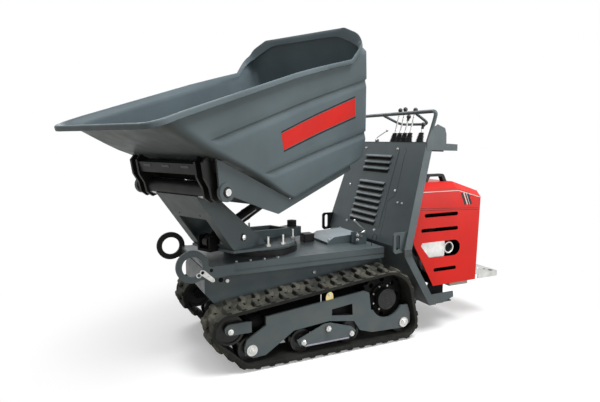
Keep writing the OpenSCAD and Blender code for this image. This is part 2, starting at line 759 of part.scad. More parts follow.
// Outline at a height, grown by g.
// The front corners are wide at the lip, and the rim turns in at the rear corners.
function outline(z, g, rim) =
    let (t = (z - floor_z) / chute_rise, d = drawn_in(z), side = mix(floor_half, lip_half, t) + g,
         f = [mix(floor_front_x, lip_x, t) + g * 1.2, side],
         d_front = mix(30, front_round, t * t * t), nose_x = f[0] - d_front - 14,
         under = foot_round * pow(1 - ramp(z, floor_z, floor_z + foot_round_h), 2),
         rear_g = rim ? g * 0.2 : g, turn = rim ? [34, -3] : [0, 0],
         wide = [widen_x, side - d],
         rear = [mix(floor_corner_x, corner_x, t) + under - rear_g, mix(floor_half + 8, rim_half,
                 t) - d + rear_g] + turn,
         left = [f, [nose_x, side], [nose_x - nose_len, side - d], wide,
                 mix(wide, rear, (widen_x - side_rear_x) / (widen_x - rear[0])), rear,
                 [mix(floor_back_x, back_x, t) + under - rear_g, mix(300, back_half,
                         t) - d / 2 + rear_g * 0.6]],
         right = [for (i = [len(left) - 1 : -1 : 0]) [left[i][0], -left[i][1]]],
         half_rounds = [d_front, 8, 20, 150, 30, rim ? 100 : 45, 60],
         rounds = concat(half_rounds, [for (i = [len(left) - 1 : -1 : 0]) half_rounds[i]]),
         pts = concat(left, right), n = len(pts))
    [for (i = [0 : n - 1]) each corner(pts[(i + n - 1) % n], pts[i], pts[(i + 1) % n], rounds[i],
                                       corner_steps)];
// The rim falls a little to both ends, then rises behind the sides
function rim_shape(x) = rear_raise * pow(ramp(-x, -side_rear_x, -back_x), 1.4)
    - rim_crown * pow((x + 450) / 750, 2);
// A ring at height z; w is how far it follows the rim's shape, lean how much it rises forwards
function ring(z, g, w = 0, lean = 0) =
    [for (p = outline(z, g, false)) [p[0], p[1], z + w * rim_shape(p[0]) + lean * (p[0] + 650)]];
function rim_ring(z, g, level) = [for (p = outline(level, g, true)) [p[0], p[1], z + rim_shape(p[0])]];
// Groove rows as [height, lean]
groove_rows = [for (g = [[groove_lower_z, 0.042], [groove_upper_z, -0.017]])
               for (dz = [groove_h, groove_lip, 0]) [g[0] - dz, g[1]]];
foot_rows = [20, 45, foot_round_h];
rim_foot = rim_z - rim_drop - 4;
shoulder_z = rim_z - 60;

skip_rings = concat(
    [ring(floor_z, -16), ring(floor_z + 6, -5)],
    [for (h = foot_rows) ring(floor_z + h, 0)],
    [for (row = groove_rows) ring(row[0], 0, 0, row[1])],
    [ring(shoulder_z, 0, 0.5), rim_ring(rim_foot, 0, rim_foot)],
    [rim_ring(rim_z - rim_drop, rim_flange, rim_z), rim_ring(rim_z, rim_flange, rim_z)],
    [rim_ring(rim_z - 8, -skip_t, rim_z - 8), rim_ring(rim_foot, -skip_t, rim_foot), ring(shoulder_z,
            -skip_t, 0.5)],
    [for (i = [len(groove_rows) - 1 : -1 : 0]) ring(groove_rows[i][0], -skip_t, 0, groove_rows[i][1])],
    [for (i = [len(foot_rows) - 1 : -1 : 1]) ring(floor_z + foot_rows[i], -skip_t)],
    [ring(floor_z + 22, -skip_t), ring(floor_z + skip_t + 4, -skip_t - 6), ring(floor_z + skip_t,
            -skip_t - 16)]);

module lofted(rings) {
    n = len(rings[0]);
    m = len(rings);
    polyhedron(
        points = [for (r = rings) each r],
        faces = concat(
            [[for (j = [0 : n - 1]) j]],
            [[for (j = [n - 1 : -1 : 0]) (m - 1) * n + j]],
            [for (i = [0 : m - 2]) for (j = [0 : n - 1]) let (k = (j + 1) % n)
                each [[i * n + j, (i + 1) * n + j, i * n + k], [i * n + k, (i + 1) * n + j,
                        (i + 1) * n + k]]]),
        convexity = 8);
}
module skip() {
    color(paint) tipped() lofted(skip_rings);
}

// Tipping ram
ram_mouth = ram_closed - 30;
module ram_barrel() {
    color(dark) along_ram() difference() {
        union() {
            bar_y(0, 0, axle_r + 14, -ram_eye_w, ram_eye_w);
            translate([0, 0, 24]) cylinder(h = ram_mouth - 24, r = barrel_r);
        }
        bar_y(0, 0, axle_r + fit, -ram_eye_w - 1, ram_eye_w + 1);
        translate([0, 0, 38]) cylinder(h = ram_mouth, r = rod_r + fit);
    }
}
module ram_rod() {
    color(zinc) along_ram() {
        translate([0, 0, ram_l - ram_closed + 60]) cylinder(h = ram_closed - 76, r = rod_r);
        bar_y(0, ram_l, 26, -ram_eye_w, ram_eye_w);
        bar_y(0, ram_l, ram_pin_r, -bracket_in - bracket_t - 4, bracket_in + bracket_t + 4);
    }
}

// Rear deck cover, and the swivel lock on it
cover_x0 = -470;
cover_x1 = -200;
cover_y0 = -190;
cover_y1 = 90;
lock_x = -430;
lock_y = 140;
lock_z = deck_z + 62;
module deck_cover() {
    color(paint) {
        plate_y([[cover_x0, deck_z], [cover_x1, deck_z], [cover_x1, deck_z + 18], [cover_x1 - 60,
                deck_z + 52],
                 [cover_x0, deck_z + 62]], cover_y0, cover_y1);
        difference() {
            union() {
                box(lock_x - 45, lock_x + 45, lock_y - 34, lock_y - 20, deck_z, lock_z + 22);
                box(lock_x - 45, lock_x + 45, lock_y + 20, lock_y + 34, deck_z, lock_z + 22);
                box(lock_x - 45, lock_x + 45, lock_y - 20, lock_y + 20, deck_z, deck_z + 14);
            }
            bar_y(lock_x, lock_z, 9 + fit, lock_y - 40, lock_y + 40);
        }
    }
}
module swivel_lock() {
    handle_end = [lock_x + 36, lock_y, lock_z + 108];
    color(zinc) {
        bar_y(lock_x, lock_z, 9, lock_y - 38, lock_y + 38);
        bar_y(lock_x, lock_z, 17, lock_y - 18, lock_y + 18);
        bent_tube([[lock_x, lock_y, lock_z], [lock_x - 55, lock_y, lock_z + 30], handle_end], 7);
        translate(handle_end) sphere(r = 10);
    }
}

// Console: leaning panel and swept-back toe in one sheet with turned sides
function front_line(shift) = [[toe_x - shift, toe_z], [panel_x - shift, panel_z], [panel_top_x - shift,
        console_z]];
function band(front, back) = concat(front_line(front), [for (i = [2 : -1 : 0]) front_line(back)[i]]);
function console_face(inset) = [[-toe_half + inset, toe_z - 1], [toe_half - inset, toe_z - 1],
                                [toe_half - inset, panel_z - 60],
    [panel_half_foot - inset, panel_z], [panel_half_top - inset, console_z + 1], [inset - panel_half_top,
            console_z + 1],
    [inset - panel_half_foot, panel_z], [inset - toe_half, panel_z - 60]];
module face_prism(pts, x0, x1) {
    translate([x0, 0, 0]) rotate([90, 0, 90]) linear_extrude(x1 - x0) polygon(pts);
}
module on_panel(z) {
    translate([panel_x - panel_lean * (z - panel_z), 0, z]) rotate([0, -panel_angle, 0]) children();
}
vent_low = 735;
vent_high = 1290;
module console_shell() {
    span = 700;
    color(paint) difference() {
        intersection() {
            plate_y(band(0, flange_d), -span, span);
            face_prism(console_face(0), -1000, -400);
        }
        intersection() {
            plate_y(band(sheet_t, flange_d + 50), -span, span);
            face_prism(console_face(sheet_t), -1100, -300);
        }
        on_panel((vent_low + vent_high) / 2)
            box(-30, 30, louvre_mid_y - louvre_half + 20, louvre_mid_y + louvre_half - 20,
                -(vent_high - vent_low) / 2 + 20,
                (vent_high - vent_low) / 2 - 20);
    }
}
louvre_rows = concat([for (i = [0 : louvres_lower - 1]) 768 + i * louvre_pitch],
                     [for (i = [0 : louvres_upper - 1]) 1148 + i * louvre_pitch]);
module louvre_cover() {
    cover_t = 3;
    mid = (vent_low + vent_high) / 2;
    high = (vent_high - vent_low) / 2 + 12;
    color(paint) {
        difference() {
            on_panel(mid) box(gap, cover_t + gap, louvre_mid_y - louvre_half - 45,
                              louvre_mid_y + louvre_half + 60, -high, high);
            for (z = louvre_rows) on_panel(z)
                box(-5, 10, louvre_mid_y - louvre_half, louvre_mid_y + louvre_half, -15, -2);
        }
        for (z = louvre_rows) on_panel(z) translate([gap, louvre_mid_y + louvre_half, 0]) rotate([90, 0, 0])
            linear_extrude(2 * louvre_half) polygon([[0, 10], [cover_t, 10], [16, -6], [15, -12], [13, -12],
                                                     [cover_t, -1], [0, -1]]);
    }
}

short_y = panel_half_top - short_lever_in;
lever_ys = [for (i = [0 : 3]) lever_mid_y + (i - 1.5) * lever_pitch];
throttle_y = -262;
pivot_ys = concat(lever_ys, [short_y, throttle_y]);
console_t = 6;
module console_top() {
    color(paint) {
        box(console_rear_x, panel_top_x, -panel_half_top, panel_half_top, console_z, console_z + console_t);
        box(console_rear_x, console_rear_x + sheet_t, -panel_half_top, panel_half_top, console_z - 60,
            console_z);
        for (y = pivot_ys) {
            for (s = [-1, 1]) box(lever_x - 9, lever_x + 9, y + (s > 0 ? 9 : -14), y + (s > 0 ? 14 : -9),
                                  console_z + console_t, lever_pivot_z + 7);
            bar_y(lever_x, lever_pivot_z, 4, y - 14, y + 14);
        }
    }
}

module lever(y, h) {
    pivot = [lever_x, y, lever_pivot_z];
    tip = pivot + (console_z + h - lever_pivot_z) * [-lever_slope, 0, 1];
    along = unit(tip - pivot);
    color(dark) {
        difference() {
            union() {
                bar_y(lever_x, lever_pivot_z, 8, y - 9 + gap, y + 9 - gap);
                rod(pivot, tip, lever_rod_r);
            }
            bar_y(lever_x, lever_pivot_z, 4 + fit, y - 10, y + 10);
        }
        translate(tip) sphere(r = knob_r);
        rod(tip - (knob_r + 14) * along, tip - 4 * along, lever_rod_r + 4);
    }
}
module throttle_lever() {
    pivot = [lever_x, throttle_y, lever_pivot_z];
    elbow = pivot + [0, 0, 22];
    tip = [lever_x, throttle_y + 137, console_z + 92];
    color(zinc) {
        difference() {
            union() {
                bar_y(lever_x, lever_pivot_z, 8, throttle_y - 9 + gap, throttle_y + 9 - gap);
                bent_tube([pivot, elbow, tip], lever_rod_r - 2);
            }
            bar_y(lever_x, lever_pivot_z, 4 + fit, throttle_y - 10, throttle_y + 10);
        }
        translate(tip) sphere(r = knob_r - 7);
    }
}
// Rubber boots: folds that get smaller upwards and lean with the levers, hollow round the pivots
boot_h = 66;
boot_r = 29;
boot_fit = 3.5;
module lever_boots() {
    z0 = console_z + console_t;
    pivot_rise = lever_pivot_z - z0;
    neck_r = lever_rod_r + boot_fit + 7;
    folds = 5;
    fold_h = boot_h / folds;
    color(dark) for (y = concat(lever_ys, [short_y])) translate([lever_x, y, z0]) difference() {
        for (i = [0 : folds - 1]) {
            r = mix(boot_r, neck_r, i / (folds - 1));
            translate([-lever_slope * max(0, (i + 0.5) * fold_h - pivot_rise), 0, i * fold_h]) {
                cylinder(h = fold_h * 0.62, r1 = r, r2 = r - 2);
                cylinder(h = fold_h + (i < folds - 1 ? 0.2 : 0), r = r - 4);
            }
        }
        translate([0, 0, -1]) cylinder(h = pivot_rise + 11, r = 19);
        rod([0, 0, pivot_rise], [-lever_slope * (boot_h + 4 - pivot_rise), 0, boot_h + 4],
            lever_rod_r + boot_fit);
    }
}

module valve_block() {
    color(zinc) box(lever_x - 45, lever_x + 25, lever_mid_y - 110, lever_mid_y + 110, console_z - 95,
                    console_z);
}

// Side plates at the foot of the panel, each with a hand hole
module hand_plates() {
    hand_y = 506;
    top_z = panel_z + 115;
    hole_x = panel_x + 34;
    color(paint) both_sides() difference() {
        plate_y([[panel_x + 70, top_z - 14], [panel_x + 56, top_z], [panel_x - panel_lean * 115 + gap,
                top_z],
                 [panel_x + gap, panel_z], [panel_x + gap - 12, panel_z - 20], [panel_x + 54, panel_z - 26],
                         [panel_x + 70, panel_z - 10]],
                hand_y - 12, hand_y);
        bar_y(hole_x, panel_z + 10, 15, hand_y - 13, hand_y + 1);
        bar_y(hole_x, panel_z + 85, 15, hand_y - 13, hand_y + 1);
        box(hole_x - 15, hole_x + 15, hand_y - 13, hand_y + 1, panel_z + 10, panel_z + 85);
    }
}

// Grab rail that leans back with the panel, with a lower loop behind it
rail_r = 13;
loop_r = 10;
rail_x = panel_top_x - 22;
rail_back = 54;
module grab_rail() {
    z0 = console_z + console_t;
    top = console_z + 214;
    top_x = rail_x - rail_back;
    rear_x = top_x - 123;
    foot_y = panel_half_top - 14;
    leg = [[rail_x, foot_y, z0], [rail_x - 40, panel_half_top, top - 62], [rail_x - 48, panel_half_top - 10,
            top - 24],
           [top_x, panel_half_top - 42, top]];
    far_leg = [for (i = [len(leg) - 1 : -1 : 0]) [leg[i][0], -leg[i][1], leg[i][2]]];
    color(paint) {
        difference() {
            bent_tube(concat(leg, far_leg), rail_r);
            box(rail_x - 40, rail_x + 40, -panel_half_top, panel_half_top, z0 - 30, z0);
        }
        bent_tube([[top_x, -171, top], [rear_x + 22, -98, top - 66], [rear_x, -62, top - 76], [rear_x, 216,
                top - 80],
                   [rear_x + 14, 240, top - 68], [top_x, 230, top]], loop_r);
    }
}

// Guard plate on the end of the console, with a flat tab to the rear
module side_guard() {
    y0 = panel_half_top + gap;
    z0 = console_z + console_t;
    front_x = rail_x - 41;
    tab_x = console_rear_x - 116;
    color(paint) plate_y([[front_x, z0 - 56], [tab_x, z0 - 61], [tab_x, z0 - 16], [console_rear_x - 17,
            z0 - 10],
                          [console_rear_x - 15, z0 + 54], [console_rear_x - 1, z0 + 95], [front_x - 24,
                                  z0 + 120],
                          [front_x - 12, z0 + 104], [front_x - 2, z0 + 54]], y0, y0 + 6);
}

// Engine bay
cowl_top = 1068;
cowl_break = 42;
cowl_rear_x = -1261;
// Side outline with its top edge lowered by d, front edge moved by f, rear edge by b and lower edge by l
function cowl_side(d, f, b, l) = [[-867 + f, 331 - l], [-684 + f, 651], [-722 + f, 940], [-750 + f,
        cowl_top - d],
    [-1042, cowl_top - d], [-1281 + b, 991 - d], [cowl_rear_x + b, 334 - l]];
function at_y(pts, y) = [for (p = pts) [p[0], y, p[1]]];
function cowl_form(half, d, f, b, l) = [
    at_y(cowl_side(d + cowl_break, f, b, l), half), at_y(cowl_side(d, f, b, l), half - cowl_break),
    at_y(cowl_side(d, f, b, l), cowl_break - half), at_y(cowl_side(d + cowl_break, f, b, l), -half)];
module side_slot(x0, x1, z0, z1) {
    r = (z1 - z0) / 2;
    bar_y(x0 - r, (z0 + z1) / 2, r, cowl_half - 20, cowl_half + 1);
    bar_y(x1 + r, (z0 + z1) / 2, r, cowl_half - 20, cowl_half + 1);
    box(x1 + r, x0 - r, cowl_half - 20, cowl_half + 1, z0, z1);
}
module cowl() {
    color(cowl_red) difference() {
        lofted(cowl_form(cowl_half, 0, 0, 0, 0));
        lofted(cowl_form(cowl_half - sheet_t, sheet_t, 60, sheet_t, 30));
        both_sides() {
            side_slot(-775, -1072, 826, 853);
            side_slot(-748, -1076, 722, 749);
            side_slot(-867, -1072, 433, 459);
            bar_y(-1044, 594, 57, cowl_half - 20, cowl_half + 1);
            plate_y([[-760, 648], [-1044, 651], [-1044, 537], [-826, 538], [-750, 628]], cowl_half - 20,
                    cowl_half + 1);
        }
    }
}
module cowl_handle() {
    y = cowl_half - cowl_break - 56;
    color(dark) plate_y([[-812, cowl_top], [-836, cowl_top + 46], [-848, cowl_top + 54], [-972,
            cowl_top + 54],
        [-984, cowl_top + 46], [-1008, cowl_top], [-980, cowl_top], [-962, cowl_top + 36], [-858,
                cowl_top + 36],
        [-840, cowl_top]], y, y + 40);
}

// Low floor with side shoes on the rear rails, and a raised floor in the cowl with the step's arms under it
base_half = 470;
floor_t = 8;
bay_floor = bay_z + floor_t;
bay_front_x = -866;
step_pin_r = 10;
module engine_base() {
    bay_half = cowl_half - sheet_t - gap;
    bay_rear_x = cowl_rear_x + sheet_t + 0.6;
    arm_y = 240;
    arm_t = 16;
    web_y = 380;
    shoe_x = toe_x - 12;
    arm_pts = [[-1100, bay_z + 2], [-1100, 300], [step_x - 14, step_z - 16], [step_x - 14, step_z + 12],
               [step_x + 8, step_z + 14], [step_x + 16, step_z - 4], [-1245, step_z - 4], [-1235,
                       bay_z + 2]];
    color(paint) difference() {
        union() {
            box(shoe_rear_x, toe_x - sheet_t - 0.6, -base_half, base_half, rail_z, rail_z + floor_t);
            box(bay_rear_x, bay_front_x, -bay_half, bay_half, bay_z, bay_floor);
            box(-1200, -1030, 290, bay_half - 10, bay_z - 32, bay_z + 2);
            both_sides() {
                plate_y([[shoe_x, rail_z], [shoe_x, 282], [shoe_rear_x - 8, 286], [shoe_rear_x - 12, 245],
                         [-930, rail_z]],
                        base_half, base_half + 8);
                plate_y([[-830, rail_z + 2], [bay_front_x - 4, bay_z + 2], [shoe_rear_x + 10, bay_z + 2],
                         [shoe_rear_x + 10, rail_z + 2]], web_y, web_y + 12);
                plate_y(arm_pts, arm_y, arm_y + arm_t);
            }
        }
        bar_y(step_x, step_z, step_pin_r + fit, -arm_y - arm_t - 1, arm_y + arm_t + 1);
    }
}
module step_plate() {
    x0 = step_x - step_l;
    t = 6;
    top = step_z + 24;
    color(zinc) {
        box(x0, step_x, -step_half, step_half, top - t, top);
        box(x0, x0 + t, -step_half, step_half, top - 42, top - t);
        for (s = [-1, 1]) box(x0 + t, step_x - 20, s > 0 ? step_half - t : -step_half, s > 0 ? step_half :
                              t - step_half, top - 42, top - t);
        bar_y(step_x, step_z, step_pin_r, -300, 300);
        for (y = [-290, 264]) box(step_x - 10, step_x + 10, y, y + 26, step_z - 4, top - t);
    }
}

engine_x0 = -1150;
engine_x1 = -880;
module engine() {
    color(zinc) {
        z0 = bay_floor;
        box(engine_x0, engine_x1, -150, 170, z0 + 40, 560);
        box(engine_x0 + 30, engine_x1 - 20, -130, 150, 560, 690);
        box(engine_x0 + 10, engine_x1 - 10, -140, 160, z0, z0 + 40);
        bar_y(-1015, z0 + 96, 90, 160, 214);
        for (i = [0 : 5]) box(engine_x0 + 20, engine_x1 - 10, -138, 158, 575 + i * 18, 583 + i * 18);
        translate([-1010, 10, 690]) cylinder(h = 90, r = 98);
    }
}
module muffler() {
    color(zinc) {
        bar_x(-1060, -800, 330, 592, 66);
        bar_y(-930, 600, 22, 158.4, 300);
        bar_y(-870, 592, 26, 380, 424);
    }
}
// A hollow tank with an open filler neck
module tank(x0, x1, y0, y1, z0, z1, neck_r) {
    wall = 5;
    neck = [x1 - 80, (y0 + y1) / 2, z1 - wall - 1];
    difference() {
        union() {
            box(x0, x1, y0, y1, z0, z1);
            translate(neck) cylinder(h = 30, r = neck_r);
        }
        box(x0 + wall, x1 - wall, y0 + wall, y1 - wall, z0 + wall, z1 - wall);
        translate(neck) cylinder(h = 31, r = neck_r - wall);
    }
}
tank_out = cowl_half - 50;
module fuel_tank() {
    color(dark) {
        tank(-1125, -880, -tank_out, 190 - tank_out, bay_floor + gap, 480, 34);
    }
}
module hydraulic_tank() {
    color(paint) {
        tank(-500, -150, -200, 200, 242, 540, 40);
    }
}
module hydraulic_pump() {
    color(zinc) {
        bar_x(engine_x1, engine_x1 + 90, 0, 430, 52);
        box(engine_x1 + 20, engine_x1 + 84, -30, 30, 470, 505);
    }
}

// Small fasteners on the fixed structure
module frame_bolts() {
    color(zinc) both_sides() {
        for (i = [0 : 3]) translate([258 + i * 92, deck_half - 32, deck_z]) hex_head(7, 9);
        for (x = [587, -12]) translate([x, frame_half, x > 0 ? 502 : 488]) rotate([-90, 0, 0]) hex_head(8,
                12);
    }
}

module track_frame_left() { track_frame(); }
module track_frame_right() { right_side() track_frame(); }
module track_belt_left() { track_belt(); }
module track_belt_right() { right_side() track_belt(); }
module drive_motor_left() { drive_motor(); }
module drive_motor_right() { right_side() drive_motor(); }
module sprocket_left() { sprocket(); }
module sprocket_right() { right_side() sprocket(); }
module idler_left() { roller(idler_x, idler_z, idler_r); }
module idler_right() { right_side() idler_left(); }
module idler_fork_left() { idler_fork(); }
module idler_fork_right() { right_side() idler_fork(); }
module front_roller_left() { roller(roller_front_x, roller_z, roller_r); }
module front_roller_right() { right_side() front_roller_left(); }
module rear_roller_left() { roller(roller_rear_x, roller_z, roller_r); }
module rear_roller_right() { right_side() rear_roller_left(); }
module bogie_left() { bogie(); }
module bogie_right() { right_side() bogie(); }
module bogie_front_roller_left() { roller(bogie_arm, bogie_roller_z, bogie_roller_r); }
module bogie_front_roller_right() { right_side() bogie_front_roller_left(); }
module bogie_rear_roller_left() { roller(-bogie_arm, bogie_roller_z, bogie_roller_r); }
module bogie_rear_roller_right() { right_side() bogie_rear_roller_left(); }
module lever_1() { lever(lever_ys[0], lever_h); }
module lever_2() { lever(lever_ys[1], lever_h + 4); }
module lever_3() { lever(lever_ys[2], lever_h - 54); }
module lever_4() { lever(lever_ys[3], lever_h - 6); }
module short_lever() { lever(short_y, short_lever_h); }

main_frame();
deck_plate();
tie_down_eyes();
track_frame_left();
track_frame_right();
track_belt_left();
track_belt_right();
drive_motor_left();
drive_motor_right();
sprocket_left();
sprocket_right();
idler_left();
idler_right();
idler_fork_left();
idler_fork_right();
front_roller_left();
front_roller_right();
rear_roller_left();
rear_roller_right();
bogie_left();
bogie_right();
bogie_front_roller_left();
bogie_front_roller_right();
bogie_rear_roller_left();
bogie_rear_roller_right();
slew_ring();
turntable();
tip_post();
rubber_buffer();
hinge_pin();
skip_carrier();
skip();
ram_barrel();
ram_rod();
deck_cover();
swivel_lock();
console_shell();
louvre_cover();
console_top();
hand_plates();
grab_rail();
side_guard();
valve_block();
lever_1();
lever_2();
lever_3();
lever_4();
short_lever();
throttle_lever();
lever_boots();
engine_base();
engine();
muffler();
fuel_tank();
hydraulic_tank();
hydraulic_pump();
cowl();
cowl_handle();
step_plate();
frame_bolts();
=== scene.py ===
"""Looks of the tracked power carrier: camera, studio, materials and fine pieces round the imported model."""

import json
import math

import bmesh
import bpy
from mathutils import Matrix, Vector


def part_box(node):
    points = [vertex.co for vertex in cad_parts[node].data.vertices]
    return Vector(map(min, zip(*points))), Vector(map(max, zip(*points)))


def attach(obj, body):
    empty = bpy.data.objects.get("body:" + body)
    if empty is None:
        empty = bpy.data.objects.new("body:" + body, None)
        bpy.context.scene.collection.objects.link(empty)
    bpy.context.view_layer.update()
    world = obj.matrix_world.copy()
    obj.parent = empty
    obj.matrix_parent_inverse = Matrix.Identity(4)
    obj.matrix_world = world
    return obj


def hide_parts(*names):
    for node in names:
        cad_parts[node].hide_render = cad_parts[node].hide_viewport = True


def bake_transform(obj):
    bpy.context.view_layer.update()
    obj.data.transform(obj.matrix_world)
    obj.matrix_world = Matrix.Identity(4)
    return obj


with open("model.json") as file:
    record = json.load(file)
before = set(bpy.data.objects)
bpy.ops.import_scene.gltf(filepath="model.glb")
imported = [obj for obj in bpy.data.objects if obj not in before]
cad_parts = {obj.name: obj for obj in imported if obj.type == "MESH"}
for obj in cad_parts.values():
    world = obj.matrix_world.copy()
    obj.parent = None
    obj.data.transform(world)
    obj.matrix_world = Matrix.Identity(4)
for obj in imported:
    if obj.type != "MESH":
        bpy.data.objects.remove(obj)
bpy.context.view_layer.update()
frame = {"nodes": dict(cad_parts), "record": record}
nodes = frame["nodes"]
MM = 0.001
SHARP_DEGREES = 32
FORWARDS, TO_LEFT, TO_RIGHT, UPWARDS = (1, 0, 0), (0, 1, 0), (0, -1, 0), (0, 0, 1)

# Places shared with the construction, in millimetres and degrees
SWIVEL_X = 270
SWIVEL_REST = 25.85
TIP_REST = 16.25
HINGE_D = 652
HINGE_Z = 1088
DECK_Z = 620

swivel_frame = (Matrix.Translation((SWIVEL_X * MM, 0, 0))
                @ Matrix.Rotation(math.radians(SWIVEL_REST), 4, "Z"))
skip_frame = (swivel_frame @ Matrix.Translation((HINGE_D * MM, 0, HINGE_Z * MM))
              @ Matrix.Rotation(math.radians(TIP_REST), 4, "Y"))


def put(name, data):
    """An object for a mesh, a lamp or a camera, in the scene."""
    obj = bpy.data.objects.new(name, data)
    bpy.context.collection.objects.link(obj)
    return obj


def aim(obj, place, way):
    """Puts a camera or a lamp at a place, looking one way."""
    obj.location = place
    obj.rotation_euler = way.to_track_quat("-Z", "Y").to_euler()


def moved(matrix, point):
    """A point (mm) carried by a matrix."""
    return matrix @ (Vector(point) * MM) / MM


# Camera
SENSOR_MM, LENS_MM, CLIP_M = 36, 29.83, 200
CAMERA_PLACE = (1.4459, 3.1436, 1.3645)
CAMERA_AIM = (-0.4218, -0.8983, -0.1231)


def add_camera():
    """The photograph's camera, as fitted to the machine's straight edges."""
    data = bpy.data.cameras.new("photo_camera")
    data.sensor_width = SENSOR_MM
    data.lens = LENS_MM
    data.clip_end = CLIP_M
    camera = put("photo_camera", data)
    aim(camera, CAMERA_PLACE, Vector(CAMERA_AIM).normalized())
    bpy.context.scene.camera = camera


# Materials
def set_inputs(node, values):
    """Sets a node's inputs by their names."""
    for name, value in values.items():
        node.inputs[name].default_value = value


class Graph:
    """A material with a principled shader, and short ways to add texture nodes to it."""

    def __init__(self, name, roughness=0.5, metallic=0.0):
        self.material = bpy.data.materials.new(name)
        self.material.use_nodes = True
        self.tree = self.material.node_tree
        self.shader = self.tree.nodes["Principled BSDF"]
        set_inputs(self.shader, {"Roughness": roughness, "Metallic": metallic})
        self.coords = self.add("ShaderNodeTexCoord").outputs["Object"]

    def add(self, kind, **settings):
        node = self.tree.nodes.new(kind)
        for key, value in settings.items():
            setattr(node, key, value)
        return node

    def link(self, source, target):
        self.tree.links.new(source, target)

    def noise(self, scale, detail=4.0, stretch=(1, 1, 1)):
        mapping = self.add("ShaderNodeMapping")
        set_inputs(mapping, {"Scale": stretch})
        self.link(self.coords, mapping.inputs["Vector"])
        node = self.add("ShaderNodeTexNoise")
        set_inputs(node, {"Scale": scale, "Detail": detail})
        self.link(mapping.outputs["Vector"], node.inputs["Vector"])
        return node.outputs["Fac"]

    def spread(self, value, low, high, to_low=0.0, to_high=1.0):
        node = self.add("ShaderNodeMapRange")
        set_inputs(node, {"From Min": low, "From Max": high, "To Min": to_low, "To Max": to_high})
        self.link(value, node.inputs["Value"])
        return node.outputs["Result"]

    def times(self, a, b):
        node = self.add("ShaderNodeMath", operation="MULTIPLY")
        self.link(a, node.inputs[0])
        self.link(b, node.inputs[1])
        return node.outputs["Value"]

    def mix(self, factor, a, b):
        node = self.add("ShaderNodeMix", data_type="RGBA")
        self.link(factor, node.inputs["Factor"])
        for value, socket in ((a, node.inputs["A"]), (b, node.inputs["B"])):
            if isinstance(value, tuple):
                socket.default_value = (*value, 1)
            else:
                self.link(value, socket)
        return node.outputs["Result"]

    def height(self):
        node = self.add("ShaderNodeSeparateXYZ")
        self.link(self.coords, node.inputs["Vector"])
        return node.outputs["Z"]

    def colour(self, value):
        self.link(value, self.shader.inputs["Base Color"])

    def rough(self, value, low, high):
        self.link(self.spread(value, 0.3, 0.7, low, high), self.shader.inputs["Roughness"])

    def bump(self, value, strength, distance):
        node = self.add("ShaderNodeBump")
        set_inputs(node, {"Strength": strength, "Distance": distance})
        self.link(value, node.inputs["Height"])
        self.link(node.outputs["Normal"], self.shader.inputs["Normal"])


DUST = (0.20, 0.18, 0.145)


def shade(colour, factor):
    return tuple(c * factor for c in colour)


def paint(name, colour, roughness, dust=0.5, coat=0.0, shine=0.22):
    """Sprayed paint: slow drift in tone, fine orange peel, and dust that thins out upwards."""
    g = Graph(name, roughness)
    drift = g.mix(g.spread(g.noise(2.6, 5), 0.35, 0.65), shade(colour, 0.9), shade(colour, 1.1))
    low = g.spread(g.height(), 0.05, 0.75, dust, 0.02)
    dusty = g.times(low, g.spread(g.noise(9, 8), 0.4, 0.75))
    g.colour(g.mix(dusty, drift, DUST))
    g.rough(g.noise(14, 6), roughness - 0.06, roughness + 0.09)
    g.bump(g.noise(420, 2), 0.08, 0.0006)
    set_inputs(g.shader, {"Specular IOR Level": shine, "Coat Weight": coat, "Coat Roughness": 0.15})
    return g.material


def rubber(name, colour, dust, powder=(0.15, 0.145, 0.115)):
    """Moulded rubber with dry powder in patches."""
    g = Graph(name, 0.85)
    coarse = g.spread(g.noise(7, 9), 0.38, 0.72)
    patches = g.times(coarse, g.spread(g.noise(60, 4), 0.3, 0.7, 0.4, 1.0))
    soft = g.spread(patches, 0, 1, 0, dust)
    g.colour(g.mix(soft, colour, powder))
    set_inputs(g.shader, {"Specular IOR Level": 0.25})
    g.bump(g.noise(160, 5), 0.35, 0.0015)
    g.rough(g.noise(25, 4), 0.72, 0.95)
    return g.material


def metal(name, colour, roughness, grain=(1, 1, 1), dark=0.8):
    """Bare or plated metal with cloudy tone and a fine grain."""
    g = Graph(name, roughness, 1.0)
    g.colour(g.mix(g.spread(g.noise(18, 6), 0.35, 0.68), shade(colour, dark), colour))
    fine = g.noise(140, 3, grain)
    g.rough(fine, roughness - 0.07, roughness + 0.1)
    g.bump(fine, 0.06, 0.0005)
    return g.material


def plastic(name, colour, roughness):
    """Moulded plastic with a fine skin."""
    g = Graph(name, roughness)
    g.colour(g.mix(g.spread(g.noise(30, 4), 0.3, 0.7), shade(colour, 0.85), shade(colour, 1.2)))
    g.rough(g.noise(60, 3), roughness - 0.05, roughness + 0.08)
    g.bump(g.noise(600, 2), 0.1, 0.0004)
    return g.material


